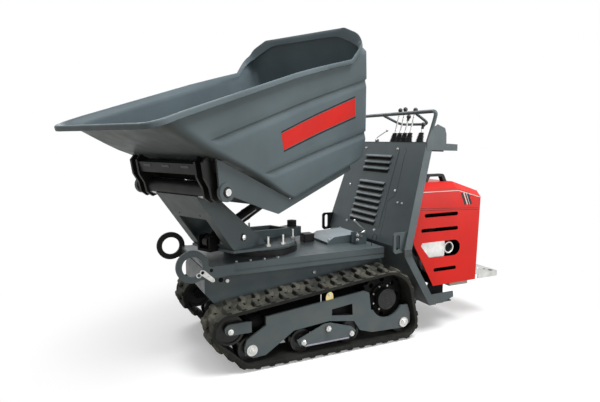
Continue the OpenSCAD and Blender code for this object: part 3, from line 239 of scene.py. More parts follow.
GREY = (0.082, 0.106, 0.115)
looks = {
    "satin_paint": paint("satin_paint", GREY, 0.42, dust=0.3, coat=0.05),
    "red_paint": paint("red_paint", (0.66, 0.014, 0.009), 0.34, dust=0.0, coat=0.08, shine=0.2),
    "black_paint": paint("black_paint", (0.012, 0.0125, 0.013), 0.42, dust=0.25),
    "belt_rubber": rubber("belt_rubber", (0.008, 0.0085, 0.0075), 0.12),
    "soft_rubber": rubber("soft_rubber", (0.016, 0.016, 0.017), 0.1),
    "plated_steel": metal("plated_steel", (0.62, 0.62, 0.6), 0.34),
    "chromed_rod": metal("chromed_rod", (0.78, 0.79, 0.8), 0.12, (1, 1, 6), 0.95),
    "cast_alloy": metal("cast_alloy", (0.42, 0.43, 0.43), 0.5),
    "heat_steel": metal("heat_steel", (0.5, 0.47, 0.43), 0.42, dark=0.6),
    "tank_plastic": plastic("tank_plastic", (0.025, 0.025, 0.026), 0.5),
    "lever_steel": plastic("lever_steel", (0.015, 0.015, 0.016), 0.3),
}
# Finishes of fine pieces and of second faces on imported nodes; some of them are painted light and shade, as
# noted at each
gloss_black = paint("gloss_black", (0.007, 0.007, 0.0075), 0.32, dust=0.1, coat=0.1, shine=0.25)
# deep_black: matte black, used mostly as painted shade in holes, bores, hollows, insides and gaps
deep_black = paint("deep_black", (0.004, 0.004, 0.0045), 0.7, dust=0.05, shine=0.12)
cream_paint = paint("cream_paint", (0.42, 0.4, 0.35), 0.5, dust=0.1)
# A paler grey for upward faces: painted top light and sky reflection on the same grey paint
top_lit_grey = paint("top_lit_grey", (0.3, 0.35, 0.38), 0.45, dust=0.1)
lilac_paint = paint("lilac_paint", (0.36, 0.36, 0.43), 0.4, dust=0.1)
# pale_line: a pale print colour, which also paints a highlight along the cowl's top crease
pale_line = paint("pale_line", (0.72, 0.66, 0.64), 0.35, dust=0.0)
dark_line = paint("dark_line", (0.02, 0.02, 0.022), 0.4, dust=0.0)
dusty_rubber = rubber("dusty_rubber", (0.036, 0.037, 0.033), 0.8, (0.22, 0.215, 0.17))
yellow_zinc = metal("yellow_zinc", (0.66, 0.56, 0.24), 0.38)
pale_steel = metal("pale_steel", (0.6, 0.59, 0.57), 0.5, dark=0.7)
skip_paint = paint("skip_paint", (0.112, 0.146, 0.162), 0.46, dust=0.1, coat=0.03, shine=0.12)


def smooth_faces(mesh, angle=SHARP_DEGREES):
    """Smooth shading, with a crease at each edge that turns by more than the angle."""
    for polygon in mesh.polygons:
        polygon.use_smooth = True
    mesh.set_sharp_from_angle(angle=math.radians(angle))


def dress_nodes():
    """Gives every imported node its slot's material and smooth round faces."""
    for part in frame["record"]["subparts"]:
        mesh = nodes[part["node"]].data
        mesh.materials.clear()
        mesh.materials.append(looks[part["material_slot"]])
        smooth_faces(mesh)


# Ways to make pieces
def add_piece(name, bm, body, slot, material=None, smooth=SHARP_DEGREES):
    """Turns a bmesh into a piece of the part, in the row frame, riding on a body if one is given."""
    mesh = bpy.data.meshes.new(name)
    bmesh.ops.recalc_face_normals(bm, faces=bm.faces)
    bm.to_mesh(mesh)
    bm.free()
    mesh.materials.append(material or looks[slot])
    smooth_faces(mesh, smooth)
    obj = put(name, mesh)
    if body:
        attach(obj, body)
    return obj


def circle(radius, segments, first=0.0):
    """Evenly spaced points round a circle, from a first angle."""
    angles = [first + 2 * math.pi * k / segments for k in range(segments)]
    return [(radius * math.cos(a), radius * math.sin(a)) for a in angles]


def turned(bm, profile, place, segments=24):
    """Adds a closed body of revolution: (radius, height) pairs in mm, round the Z axis of place."""
    rows = []
    for radius, height in profile:
        points = circle(radius, segments) if radius else [(0, 0)]
        rows.append([bm.verts.new(place @ (Vector((x, y, height)) * MM)) for x, y in points])
    for a, b in zip(rows, rows[1:]):
        for k in range(segments):
            n = (k + 1) % segments
            corners = [a[k % len(a)], a[n % len(a)], b[n % len(b)], b[k % len(b)]]
            unique = list(dict.fromkeys(corners))
            if len(unique) > 2:
                bm.faces.new(unique)


def looking(origin, axis):
    """A matrix at origin (mm) whose Z points along axis."""
    turn = Vector(axis).normalized().to_track_quat("Z", "Y").to_matrix().to_4x4()
    return Matrix.Translation(Vector(origin) * MM) @ turn


WASHER_T, WASHER_EDGE = 2.2, 0.6


def bolt(bm, origin, axis, across, height, washer=0.0):
    """A hexagon nut with a chamfered top and a stud end, on a washer if one is given."""
    place = looking(origin, axis)
    base = 0.0
    if washer:
        rim = [(washer, 0), (washer, WASHER_T - WASHER_EDGE), (washer - WASHER_EDGE, WASHER_T)]
        turned(bm, [(0, 0)] + rim + [(0, WASHER_T)], place, 28)
        base = WASHER_T
    r = across / 2 / math.cos(math.pi / 6)
    top = base + height
    turned(bm, [(0, base), (r, base), (r, top - height * 0.18), (r * 0.86, top), (0, top)], place, 6)
    end = top + height * 0.5
    stud = [(0, top), (r * 0.45, top), (r * 0.45, end - height * 0.1), (r * 0.36, end), (0, end)]
    turned(bm, stud, place, 14)


def join_rows(bm, rows):
    """Faces between each ring of vertices and the next."""
    for a, b in zip(rows, rows[1:]):
        for k in range(len(a)):
            n = (k + 1) % len(a)
            bm.faces.new((a[k], a[n], b[n], b[k]))


def lofted(bm, rings):
    """A closed body through rings of points in metres, capped at both ends."""
    rows = [[bm.verts.new(p) for p in ring] for ring in rings]
    join_rows(bm, rows)
    bm.faces.new(list(reversed(rows[0])))
    bm.faces.new(rows[-1])


def direction(spots, i):
    """Direction of a path at one of its points."""
    return (spots[min(i + 1, len(spots) - 1)] - spots[max(i - 1, 0)]).normalized()


def tube(bm, points, radius, segments=12):
    """A round bar along points (mm), with flat ends."""
    spots = [Vector(p) for p in points]
    rings = []
    side = direction(spots, 0).orthogonal().normalized()
    for i, spot in enumerate(spots):
        along = direction(spots, i)
        side = (side - along * side.dot(along)).normalized()
        other = along.cross(side)
        rings.append([(spot + side * x + other * y) * MM for x, y in circle(radius, segments)])
    lofted(bm, rings)


def bend(before, corner, after, radius, share, steps):
    """Points of a soft bend at a corner, which takes up no more than a share of either side."""
    back, on = before - corner, after - corner
    a = corner + back.normalized() * min(radius, back.length * share)
    b = corner + on.normalized() * min(radius, on.length * share)
    parts = [k / steps for k in range(steps + 1)]
    return [a * (1 - s) ** 2 + corner * 2 * s * (1 - s) + b * s * s for s in parts]


BEND_SHARE = 0.48


def rounded(points, radii, steps=4, share=BEND_SHARE):
    """A polygon (mm) with its corners turned round, by one radius or by one for each corner."""
    corners = [Vector(p) for p in points]
    if not isinstance(radii, list):
        radii = [radii] * len(corners)
    ring = []
    for i, corner in enumerate(corners):
        after = corners[(i + 1) % len(corners)]
        ring += bend(corners[i - 1], corner, after, radii[i], share, steps)
    return ring


def bent(points, radius, steps=8):
    """An open path (mm) with its bends turned round."""
    spots = [Vector(p) for p in points]
    path = [spots[0]]
    for before, corner, after in zip(spots, spots[1:], spots[2:]):
        path += bend(before, corner, after, radius, BEND_SHARE, steps)
    return path + [spots[-1]]


def axes(origin, x, y, z):
    """A matrix at origin (mm) with the given directions for its axes."""
    turn = Matrix((x, y, z)).transposed().to_4x4()
    return Matrix.Translation(Vector(origin) * MM) @ turn


def side_face(y):
    """A matrix for plates on the machine's side: X is X, Y is up, and Z runs to the right from y (mm)."""
    return axes((0, y, 0), FORWARDS, UPWARDS, TO_RIGHT)


def rectangle(x_low, x_high, y_low, y_high):
    return [(x_low, y_low), (x_high, y_low), (x_high, y_high), (x_low, y_high)]


def dot(bm, spot, axis, radius, height, edge=0.4, segments=28):
    """A thin disc on a face, for a hole or a dark end: in black it is painted shade."""
    rim = [(radius, 0), (radius, height - edge), (radius - 1, height)]
    turned(bm, [(0, 0)] + rim + [(0, height)], looking(spot, axis), segments)


def plate(bm, outline, place, thick, edge=1.0):
    """A flat plate with broken edges: an outline (mm) in the XY of place, thick along its Z."""
    middle = sum(outline, Vector((0, 0))) / len(outline)
    reach = max((p - middle).length for p in outline)

    def ring(inset, height):
        scale = 1 - inset / reach
        flat = [middle + (p - middle) * scale for p in outline]
        return [place @ (Vector((p.x, p.y, height)) * MM) for p in flat]

    lofted(bm, [ring(edge, 0), ring(0, edge), ring(0, thick - edge), ring(edge, thick)])


def ribbon(bm, points, normal, width, thick):
    """A thin flat line along points (mm) on a face with the given normal."""
    spots = [Vector(p) for p in points]
    up = Vector(normal).normalized()
    rings = []
    for i, spot in enumerate(spots):
        side = direction(spots, i).cross(up).normalized() * width / 2
        rings.append([(spot + side) * MM, (spot + side + up * thick) * MM,
                      (spot - side + up * thick) * MM, (spot - side) * MM])
    lofted(bm, rings)


# Skip skin: the construction's outline with finer rows, soft grooves and a rolled rim
FLOOR_Z, RIM_Z, REAR_RAISE, RIM_CROWN = -232, 497, 202, 17
FLOOR_FRONT_X, LIP_X, FLOOR_HALF, LIP_HALF = -486, 358, 400, 448
WIDEN_X, SIDE_REAR_X, RIM_HALF = -770, -1141, 548
FLOOR_CORNER_X, CORNER_X, FLOOR_BACK_X, BACK_X = -1330, -1340, -1340, -1360
FLOOR_BACK_HALF, BACK_HALF, FLOOR_REAR_HALF = 300, 312, 408
SKIP_T, RIM_FLANGE, RIM_DROP = 5, 32, 30
# Each groove: height of its top edge at the middle, and how it leans along the side
GROOVES = ((-4, 0.042), (316, -0.017))
GROOVE_D, GROOVE_H, GROOVE_LIP, GROOVE_MIDDLE_X = 11, 60, 9, -650
NOSE_LEN, NOSE_GAP, FRONT_GROW = 45, 14, 1.2
FLOOR_ROUND, FRONT_ROUND, FOOT_ROUND, FOOT_ROUND_H = 30, 108, 62, 80
SIDE_ROUNDS = [8, 20, 150, 30]
REAR_ROUND, RIM_REAR_ROUND, BACK_ROUND = 45, 100, 60
OUTLINE_STEPS, OUTLINE_SHARE = 9, 0.94
# The rim's rear corner, against the wall's, and how far its flange and its inner bead stand out at the back
RIM_TURN_X, RIM_TURN_Y, RIM_REAR_SHARE = 34, -3, 0.2
BEAD_REAR, BEAD_TOP, BEAD_SHARE = 2, 18, 0.8
CORNER_RISE, CROWN_X, CROWN_REACH = 0.55, -450, 750


def mix(a, b, t):
    return a + (b - a) * t


def ramp(v, a, b):
    return min(max((v - a) / (b - a), 0.0), 1.0)


def ease(t):
    return t * t * (3 - 2 * t)


def groove_depth(z):
    """Depth of the side's grooves at a height."""
    depth = 0.0
    for top, _ in GROOVES:
        upper = ease(ramp(top - z, 0, GROOVE_LIP))
        lower = ease(ramp(z, top - GROOVE_H, top - GROOVE_LIP))
        depth += GROOVE_D * min(upper, lower) * (top - GROOVE_H < z < top)
    return depth


def skip_outline(z, grow, at_rim, bead=False):
    """Rounded outline of the skip at a height, from its front left corner round the back, in mm."""
    t = (z - FLOOR_Z) / (RIM_Z - FLOOR_Z)
    depth = groove_depth(z)
    side = mix(FLOOR_HALF, LIP_HALF, t) + grow
    front_x = mix(FLOOR_FRONT_X, LIP_X, t) + grow * FRONT_GROW
    wide = mix(FLOOR_ROUND, FRONT_ROUND, t ** 3)
    nose_x = front_x - wide - NOSE_GAP
    under = FOOT_ROUND * (1 - ramp(z, FLOOR_Z, FLOOR_Z + FOOT_ROUND_H)) ** 2
    rear = grow * RIM_REAR_SHARE if at_rim else grow
    if bead:
        rear = BEAD_REAR - (BEAD_TOP - grow) * BEAD_SHARE
    turn_x, turn_y = (RIM_TURN_X, RIM_TURN_Y) if at_rim else (0, 0)
    rear_x = mix(FLOOR_CORNER_X, CORNER_X, t) + under - rear + turn_x
    rear_y = mix(FLOOR_REAR_HALF, RIM_HALF, t) - depth + rear + turn_y
    bend_y = mix(side - depth, rear_y, ramp(-SIDE_REAR_X, -WIDEN_X, -rear_x))
    back_x = mix(FLOOR_BACK_X, BACK_X, t) + under - rear
    back_y = mix(FLOOR_BACK_HALF, BACK_HALF, t) - depth / 2 + rear * 0.6
    left = [(front_x, side), (nose_x, side), (nose_x - NOSE_LEN, side - depth), (WIDEN_X, side - depth),
            (SIDE_REAR_X, bend_y), (rear_x, rear_y), (back_x, back_y)]
    rounds = [wide] + SIDE_ROUNDS + [RIM_REAR_ROUND if at_rim else REAR_ROUND, BACK_ROUND]
    right = [(x, -y) for x, y in reversed(left)]
    return rounded(left + right, rounds + rounds[::-1], OUTLINE_STEPS, OUTLINE_SHARE)


def rim_shape(x):
    """Height of the rim above its crown: it falls a little to both ends and rises behind the sides."""
    corner_x = CORNER_X + RIM_TURN_X
    to_corner = ramp(-x, -SIDE_REAR_X, -corner_x)
    to_back = ramp(-x, -corner_x, -BACK_X - 6)
    rise = mix(CORNER_RISE * to_corner, 1, to_back)
    return REAR_RAISE * rise - RIM_CROWN * ((x - CROWN_X) / CROWN_REACH) ** 2


def skip_ring(z, grow, follow=0.0, lean=0.0, level=None, bead=False):
    """One row of the skin: follow is its share of the rim's shape, level a rim row's own outline height."""
    outline = skip_outline(z if level is None else level, grow, level is not None, bead)
    return [Vector((p.x, p.y, z + follow * rim_shape(p.x) + lean * (p.x - GROOVE_MIDDLE_X))) for p in outline]


def wall_rows(grow):
    """Rows of the wall between the rounded foot and the rim."""
    upper_top, upper_lean = GROOVES[1]
    rows = [(FLOOR_Z + h, grow, 0, 0) for h in (20, 30, 45, 60, FOOT_ROUND_H)]
    for top, lean in GROOVES:
        heights = [top - GROOVE_H + s for s in (0, 8, 16, 24, 32, 40, 47)]
        heights += [top - s for s in (9, 7, 5, 3, 1, 0)]
        rows += [(z, grow, 0, lean) for z in heights]
        if top < upper_top:
            between = [(k + 1) / 9 for k in range(8)]
            rows += [(mix(top, upper_top - GROOVE_H, s), grow, 0, mix(lean, upper_lean, s)) for s in between]
    rows += [(mix(upper_top, RIM_Z - 60, s), grow, 0.5 * s, mix(upper_lean, 0, s)) for s in (0.33, 0.67, 1.0)]
    return rows


def add_skip():
    """The skip as one skin: up the outside, over the rim and down the inside."""
    rim_foot = RIM_Z - RIM_DROP - 4
    rows = [(FLOOR_Z + h, grow, 0, 0) for h, grow in ((0, -16), (2, -11), (6, -5), (12, -1.5))]
    rows += wall_rows(0)
    rows.append((rim_foot, 0, 1, 0, rim_foot))
    lower = RIM_Z - RIM_DROP
    turned_edge = [(lower, RIM_FLANGE - 3), (lower + 2, RIM_FLANGE), (RIM_Z - 9, RIM_FLANGE),
                   (RIM_Z - 4, RIM_FLANGE - 1.5), (RIM_Z - 1, RIM_FLANGE - 5), (RIM_Z, RIM_FLANGE - 10)]
    inner_slope = [(RIM_Z - 2, BEAD_TOP), (RIM_Z - 8, 12), (RIM_Z - 15, 6), (RIM_Z - 23, 1), (RIM_Z - 30, -3)]
    rows += [(z, grow, 1, 0, RIM_Z) for z, grow in turned_edge]
    rows += [(z, grow, 1, 0, RIM_Z, True) for z, grow in inner_slope]
    rows.append((rim_foot, -SKIP_T, 1, 0, rim_foot))
    rows += reversed(wall_rows(-SKIP_T))
    rows += [(FLOOR_Z + SKIP_T + 4, -SKIP_T - 6, 0, 0), (FLOOR_Z + SKIP_T, -SKIP_T - 16, 0, 0)]
    bm = bmesh.new()
    lofted(bm, [[skip_frame @ (p * MM) for p in skip_ring(*row)] for row in rows])
    skin = add_piece("skip_skin", bm, "tipping_skip", "satin_paint", skip_paint, 48)
    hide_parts("skip")


def wall_y(x, z):
    """Half width of the skip's flat side between its two grooves, at a place in the skip's frame."""
    (low_z, low_lean), (high_top, high_lean) = GROOVES
    high_z = high_top - GROOVE_H

    def half_at(level):
        side = skip_outline(level, 0, False)
        side = side[:len(side) // 2]
        for a, b in zip(side, side[1:]):
            if b.x <= x <= a.x and a.x - b.x > 1e-6:
                return mix(a.y, b.y, (a.x - x) / (a.x - b.x))
        return side[0].y

    foot = low_z + low_lean * (x - GROOVE_MIDDLE_X)
    head = high_z + high_lean * (x - GROOVE_MIDDLE_X)
    return mix(half_at(low_z), half_at(high_z), (z - foot) / (head - foot))


STRIPE_FRONT_X, STRIPE_REAR_X, STRIPE_STEPS = -458, -1188, 40
STRIPE_FRONT_Z, STRIPE_REAR_Z = (78, 200), (92, 240)
STRIPE_SUNK, STRIPE_OUT = -1, 0.9


def add_stripes():
    """Plain stripes on the skip's sides: a red band between two thin dark lines."""
    stripes = (("band", 0.1, 0.9, looks["red_paint"]), ("line_low", 0.0, 0.07, dark_line),
               ("line_high", 0.93, 1.0, dark_line))
    for name, low, high, material in stripes:
        bm = bmesh.new()
        for side in (1, -1):
            rings = []
            for k in range(STRIPE_STEPS + 1):
                s = k / STRIPE_STEPS
                x = mix(STRIPE_FRONT_X, STRIPE_REAR_X, s)
                foot, head = [mix(a, b, s) for a, b in zip(STRIPE_FRONT_Z, STRIPE_REAR_Z)]
                heights = [mix(foot, head, low), mix(foot, head, high)]
                lifts = (STRIPE_SUNK, STRIPE_SUNK, STRIPE_OUT, STRIPE_OUT)
                rings.append([skip_frame @ (Vector((x, side * (wall_y(x, z) + lift), z)) * MM)
                              for z, lift in zip(heights + heights[::-1], lifts)])
            lofted(bm, rings)
        add_piece(f"skip_{name}", bm, "tipping_skip", "red_paint", material)


# Second finishes on imported nodes, some of them painted light and shade
def paint_where(node, material, inside=lambda p, n: True):
    """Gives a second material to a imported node's faces that pass a test of centre (mm) and normal."""
    mesh = nodes[node].data
    mesh.materials.append(material)
    index = len(mesh.materials) - 1
    for polygon in mesh.polygons:
        if inside(polygon.center / MM, polygon.normal):
            polygon.material_index = index


STUDS = ((200, 258), (90, 284), (-99, 206))
STUD_R, STUD_FOOT_Z = 17, 705.5
KNUCKLE_HALF, KNUCKLE_REAR_X, KNUCKLE_LOW_Z, KNUCKLE_HIGH_Z = 363, -75, -62, 220
PIN_FACE_R, BUSH_R, PIVOT_NUT_Y = 20.3, 49.5, 185.5
COWL_MIDDLE = Vector((-980, 0, 700))
LEVER_KNOB_H = 50
# How far from the machine's middle the matte black inside of a track piece, which is painted shade, ends, and
# its plated axle ends begin
TRACK_SHADE_AND_PLATING = (("track_frame", 455, 470.5), ("idler_fork", 453.5, 470.5), ("bogie", 471, 482.5))
# Top of the pale lilac strip on the bogies' lower outer edge, and how far out it starts
PALE_STRIP_TOP, PALE_STRIP_Y = 94.5, 476


def paint_upper():
    """Second finishes of the skip's hinge, the turntable, the deck, the console, the cowl and the levers,
    with matte black painted shade on the turntable's lugs, inside the cowl, on the console's rear faces and
    inside the engine bay, and a painted top light on the deck cover.
    """
    black, plated = looks["black_paint"], looks["plated_steel"]
    to_skip = skip_frame.inverted()
    to_swivel = swivel_frame.inverted()

    def knuckle(p, n):
        q = moved(to_skip, p)
        return (abs(q.y) < KNUCKLE_HALF and q.x > KNUCKLE_REAR_X
                and KNUCKLE_LOW_Z < q.z < KNUCKLE_HIGH_Z)

    def from_hinge(p):
        q = moved(to_skip, p)
        return math.hypot(q.x, q.z)

    def pivot_nut(p, n):
        return abs(moved(to_swivel, p).y) > PIVOT_NUT_Y

    def lug(p, n):
        q = moved(to_swivel, p)
        return q.x > 400 and abs(q.y) < 60

    def stud(p, n):
        q = moved(to_swivel, p)
        near = [math.hypot(q.x - x, abs(q.y) - y) < STUD_R for x, y in STUDS]
        return q.z > STUD_FOOT_Z and any(near)

    def low_bracket(p, n):
        return 300 < p.z < 339 and 280 < p.y < 430 and p.x < -1025

    def inner_skin(p, n):
        return n.dot(p - COWL_MIDDLE) < 0

    paint_where("skip_carrier", black, knuckle)
    paint_where("hinge_pin", black, lambda p, n: from_hinge(p) > PIN_FACE_R)
    paint_where("tip_post", black, lambda p, n: from_hinge(p) < BUSH_R)
    paint_where("tip_post", plated, pivot_nut)
    # The turntable's lugs in matte black: painted shade, which sinks them into the dark window.
    paint_where("turntable", deep_black, lug)
    paint_where("turntable", plated, stud)
    paint_where("tie_down_eyes", black, lambda p, n: p.y < 0)
    paint_where("hand_plates", gloss_black, lambda p, n: p.y < 0)
    # The deck cover's upward faces get a paler grey: painted top light.
    paint_where("deck_cover", top_lit_grey, lambda p, n: p.y < 95 and n.z > 0.3)
    # Matte black inside the cowl: painted shade.
    paint_where("cowl", deep_black, inner_skin)
    # Matte black on the console's rear faces: painted shade in the gap before the cowl.
    paint_where("console_shell", deep_black, lambda p, n: n.x < -0.3)
    # Matte black inside the engine bay: painted shade.
    paint_where("engine_base", deep_black, lambda p, n: abs(p.y) < 450 and p.z > 206)
    paint_where("engine_base", cream_paint, low_bracket)
    paint_where("engine_base", plated, lambda p, n: 235 < abs(p.y) < 260 and p.x < -1090)
    for name in ("lever_1", "lever_2", "lever_3", "lever_4", "short_lever"):
        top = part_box(name)[1].z / MM
        paint_where(name, plated, lambda p, n, top=top: p.z < top - LEVER_KNOB_H)


def paint_tracks():
    """Matte black inside the tracks as painted shade, plated axle ends, a pale lilac strip on the bogies,
    black wheels.
    """
    for side in ("left", "right"):
        for piece, black_to, plated_from in TRACK_SHADE_AND_PLATING:
            name = f"{piece}_{side}"
            # Matte black on the track pieces' inner faces: painted shade.
            paint_where(name, deep_black, lambda p, n, y=black_to: abs(p.y) < y)
            paint_where(name, looks["plated_steel"], lambda p, n, y=plated_from: abs(p.y) > y)
        paint_where("bogie_" + side, lilac_paint,
                    lambda p, n: p.z < PALE_STRIP_TOP and abs(p.y) > PALE_STRIP_Y)
        for wheel in ("idler", "front_roller", "rear_roller", "bogie_front_roller", "bogie_rear_roller"):
            paint_where(f"{wheel}_{side}", gloss_black)
        for wheel in ("sprocket", "drive_motor"):
            paint_where(f"{wheel}_{side}", deep_black)


# Nodes with rounded edges, by the edge's width in mm
EDGES = {1.5: ("console_shell", "console_top", "side_guard", "step_plate", "bogie_left", "bogie_right",
               "idler_fork_left", "idler_fork_right"),
         2: ("tip_post", "turntable", "deck_plate", "hand_plates", "tie_down_eyes", "deck_cover",
             "track_frame_left", "track_frame_right"),
         3: ("main_frame",), 4: ("cowl_handle",), 5: ("cowl",)}
EDGE_DEGREES = 30


def break_edges():
    """Slightly rounded edges on sheet and plate nodes, which catch the light."""
    for name, width in [(name, width) for width, names in EDGES.items() for name in names]:
        bevel = nodes[name].modifiers.new("broken_edges", "BEVEL")
        bevel.width = width * MM
        bevel.segments = 2
        bevel.limit_method = "ANGLE"
        bevel.angle_limit = math.radians(EDGE_DEGREES)


# Levers
LEVER_X, CONSOLE_Z, LEVER_PIVOT_Z, LEVER_SLOPE = -843, 1346, 1358, 0.26
LEVER_YS = [53 + (i - 1.5) * 62 for i in range(4)] + [275]
BOOT_H, BOOT_R, BOOT_NECK, BOOT_FOLDS, BOOT_FLANGE = 66, 30, 21, 6, 2.5
# One fold of a boot: share of its height, and how far inside its crest
FOLD_SHAPE = ((0.0, -6.5), (0.18, -5.0), (0.36, -0.8), (0.48, 0.0), (0.6, -0.6), (0.8, -4.2), (0.95, -6.5))
BOOT_MOUTH = ((0, BOOT_NECK - 6), (1.5, 7.5), (1.5, 6.2))


def boot_row(y, height, radius):
    """A ring of a boot at a height above the console, leaning with the lever."""
    x = LEVER_X - LEVER_SLOPE * max(0.0, height - (LEVER_PIVOT_Z - CONSOLE_Z))
    return [Vector((x + a, y + b, CONSOLE_Z + height)) * MM for a, b in circle(radius, 32)]


def add_boots():
    """Rubber bellows round the levers, from the console at the foot up to the lever at the top."""
    for i, y in enumerate(LEVER_YS):
        body = f"lever_{i + 1}" if i < 4 else "short_lever"
        rows = [boot_row(y, 0, BOOT_R), boot_row(y, BOOT_FLANGE, BOOT_R)]
        fold_h = (BOOT_H - BOOT_FLANGE) / BOOT_FOLDS
        for fold in range(BOOT_FOLDS):
            crest = mix(BOOT_R - 1, BOOT_NECK, fold / (BOOT_FOLDS - 1))
            rows += [boot_row(y, BOOT_FLANGE + (fold + s) * fold_h, crest + inset) for s, inset in FOLD_SHAPE]
        rows += [boot_row(y, BOOT_H + up, radius) for up, radius in BOOT_MOUTH]
        bm = bmesh.new()
        lofted(bm, rows)
        name = "boot_" + body
        boot = add_piece(name, bm, None, "soft_rubber", smooth=50)
        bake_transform(boot)
        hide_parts("lever_boots")


# Console
PANEL_X, PANEL_Z, PANEL_LEAN = -541, 640, 0.3
PANEL_NORMAL = Vector((1, 0, PANEL_LEAN)).normalized()
PANEL_RISE = Vector((-PANEL_LEAN, 0, 1)).normalized()
PANEL_BOLTS = ((-254, 1297), (165, 1294), (-349, 1001), (262, 1004), (141, 709), (-254, 722))
PANEL_SEAM = ((246, 1302), (262, 1296), (272, 1279), (262, 1255), (282, 1004), (273, 969), (204, 923),
              (224, 790), (224, 668))
VENT_Y, VENT_Z, LOUVRE_PITCH, LOUVRE_HALF = -45, 1012.5, 46, 166
# Rings of the dark tray behind the louvres, which is painted shade: half width, half height, and how far out
# from the panel
VENT_TRAY = ((150, 255, -36), (156, 262, -34), (166, 274, -6), (166, 274, -4), (160, 268, -4),
             (152, 258, -30), (148, 252, -32))


def on_panel(y, z, out=0.0):
    """A point (mm) on the front of the leaning panel."""
    return Vector((PANEL_X - PANEL_LEAN * (z - PANEL_Z), y, z)) + PANEL_NORMAL * out


def add_console_details():
    """Bolts and seam on the panel, painted shade below each louvre, and a dark tray behind them as painted
    shade.
    """
    bm = bmesh.new()
    for y, z in PANEL_BOLTS:
        bolt(bm, on_panel(y, z), PANEL_NORMAL, 13, 6, 10)
    for y in (327, 376):
        bolt(bm, on_panel(y, 928), PANEL_NORMAL, 10, 5, 7.5)
    add_piece("console_bolts", bm, "chassis", "plated_steel")

    bm = bmesh.new()
    ribbon(bm, [on_panel(y, z, -0.2) for y, z in PANEL_SEAM], PANEL_NORMAL, 3.2, 0.7)
    add_piece("console_seam", bm, "chassis", "black_paint", dark_line)

    bm = bmesh.new()
    half = Vector((0, LOUVRE_HALF, 0))
    for first, count in ((768, 7), (1148, 3)):
        for i in range(count):
            spot = on_panel(VENT_Y, first + LOUVRE_PITCH * i, 3.2) - PANEL_RISE * 22
            ribbon(bm, [spot - half, spot + half], PANEL_NORMAL, 20, 0.5)
    add_piece("louvre_shade", bm, "chassis", "black_paint", deep_black)

    def tray_ring(half_y, half_z, out):
        centre = on_panel(VENT_Y, VENT_Z, out)
        corners = ((1, 1), (-1, 1), (-1, -1), (1, -1))
        return [(centre + Vector((0, a * half_y, 0)) + PANEL_RISE * b * half_z) * MM for a, b in corners]

    # A matte black tray behind the louvres: painted shade of the bay behind them.
    bm = bmesh.new()
    lofted(bm, [tray_ring(*ring) for ring in VENT_TRAY])
    add_piece("vent_shade_tray", bm, "chassis", "black_paint", deep_black)


def add_rails():
    """Grab rail and its lower loop with round bends, and the front half of the side guard."""
    top_x, top_z = -827, 1554
    leg = [(-773, 448, CONSOLE_Z), (-812, 461.5, 1487), (top_x, 464, top_z - 1), (top_x, 380, top_z)]
    route = leg + [(x, -y, z) for x, y, z in reversed(leg)]
    bm = bmesh.new()
    tube(bm, bent(route, 78, 12), 13, 20)
    loop = [(top_x, -171, top_z), (-936, -92, 1484), (-950, -40, 1478), (-950, 204, 1474), (-936, 240, 1486),
            (top_x, 230, top_z)]
    tube(bm, bent(loop, 40), 10, 16)
    rail = add_piece("rails", bm, "chassis", "satin_paint")
    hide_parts("grab_rail")
    bm = bmesh.new()
    outline = rounded([(-824, 1291), (-752, 1291), (-752, 1345), (-790, 1440), (-838, 1464)], 6)
    plate(bm, outline, side_face(468), 4.6, 0.8)
    add_piece("guard_front", bm, "chassis", "satin_paint")


# Belts
RUN_GAP, BELT_T, BELT_OUT, BELT_W = 0.3, 17, 500, 230
LUG_H, LUG_COUNT, LUG_FOOT, LUG_TIP = 25, 37, 44, 26
BELT_BEAD, LUG_SUNK, LUG_SHOULDER, LUG_CREST = 8, -3, 0.88, 0.82
ROLLER_R, FRONT_ROLLER_X, REAR_ROLLER_X = 80, 506, -591
ROLLER_Z = LUG_H + BELT_T + ROLLER_R + RUN_GAP
IDLER_X, IDLER_Z, IDLER_R = 635, 257, 93
SPROCKET_X, SPROCKET_Z, SPROCKET_R = -457, 299, 172
BELT_WHEELS = ((IDLER_X, IDLER_Z, IDLER_R), (SPROCKET_X, SPROCKET_Z, SPROCKET_R),
               (REAR_ROLLER_X, ROLLER_Z, ROLLER_R), (FRONT_ROLLER_X, ROLLER_Z, ROLLER_R))
# Half a lug, from the belt's edge inwards: way in from the edge, shares of the height and the width, skew
LUG_ROWS = ((1, 0.6, 0.86, 0), (6, 0.72, 0.92, 0), (18, 0.88, 0.98, 0), (34, 1, 1, 0), (76, 1, 1, 0),
            (98, 1, 1, 5), (114, 0.94, 0.94, 13), (125, 0.5, 0.78, 19))


def belt_route():
    """The belt's outer face as spans and arcs: a length, and the point and angle at any share of it."""
    wheels = [(Vector((x, z)), r + RUN_GAP + BELT_T) for x, z, r in BELT_WHEELS]
    count = len(wheels)
    facing = []
    for i, (centre, radius) in enumerate(wheels):
        next_centre, next_radius = wheels[(i + 1) % count]
        step = next_centre - centre
        facing.append(math.atan2(step.y, step.x) - math.acos((radius - next_radius) / step.length))

    def on_wheel(i, angle):
        centre, radius = wheels[i % count]
        return centre + radius * Vector((math.cos(angle), math.sin(angle)))

    def span(i):
        a, b = on_wheel(i, facing[i]), on_wheel(i + 1, facing[i])
        return (b - a).length, lambda s: (a.lerp(b, s), facing[i])

    def arc(i):
        turn = (facing[(i + 1) % count] - facing[i]) % (2 * math.pi)
        radius = wheels[(i + 1) % count][1]
        return radius * turn, lambda s: (on_wheel(i + 1, facing[i] + turn * s), facing[i] + turn * s)

    return [part(i) for i in range(count) for part in (span, arc)]


def along_belt(route, distance):
    """Point and outward direction on the belt's outer face."""
    distance %= sum(length for length, _ in route)
    for length, place in route:
        if distance <= length:
            spot, angle = place(distance / length)
            return spot, Vector((math.cos(angle), math.sin(angle)))
        distance -= length
    return along_belt(route, 0)


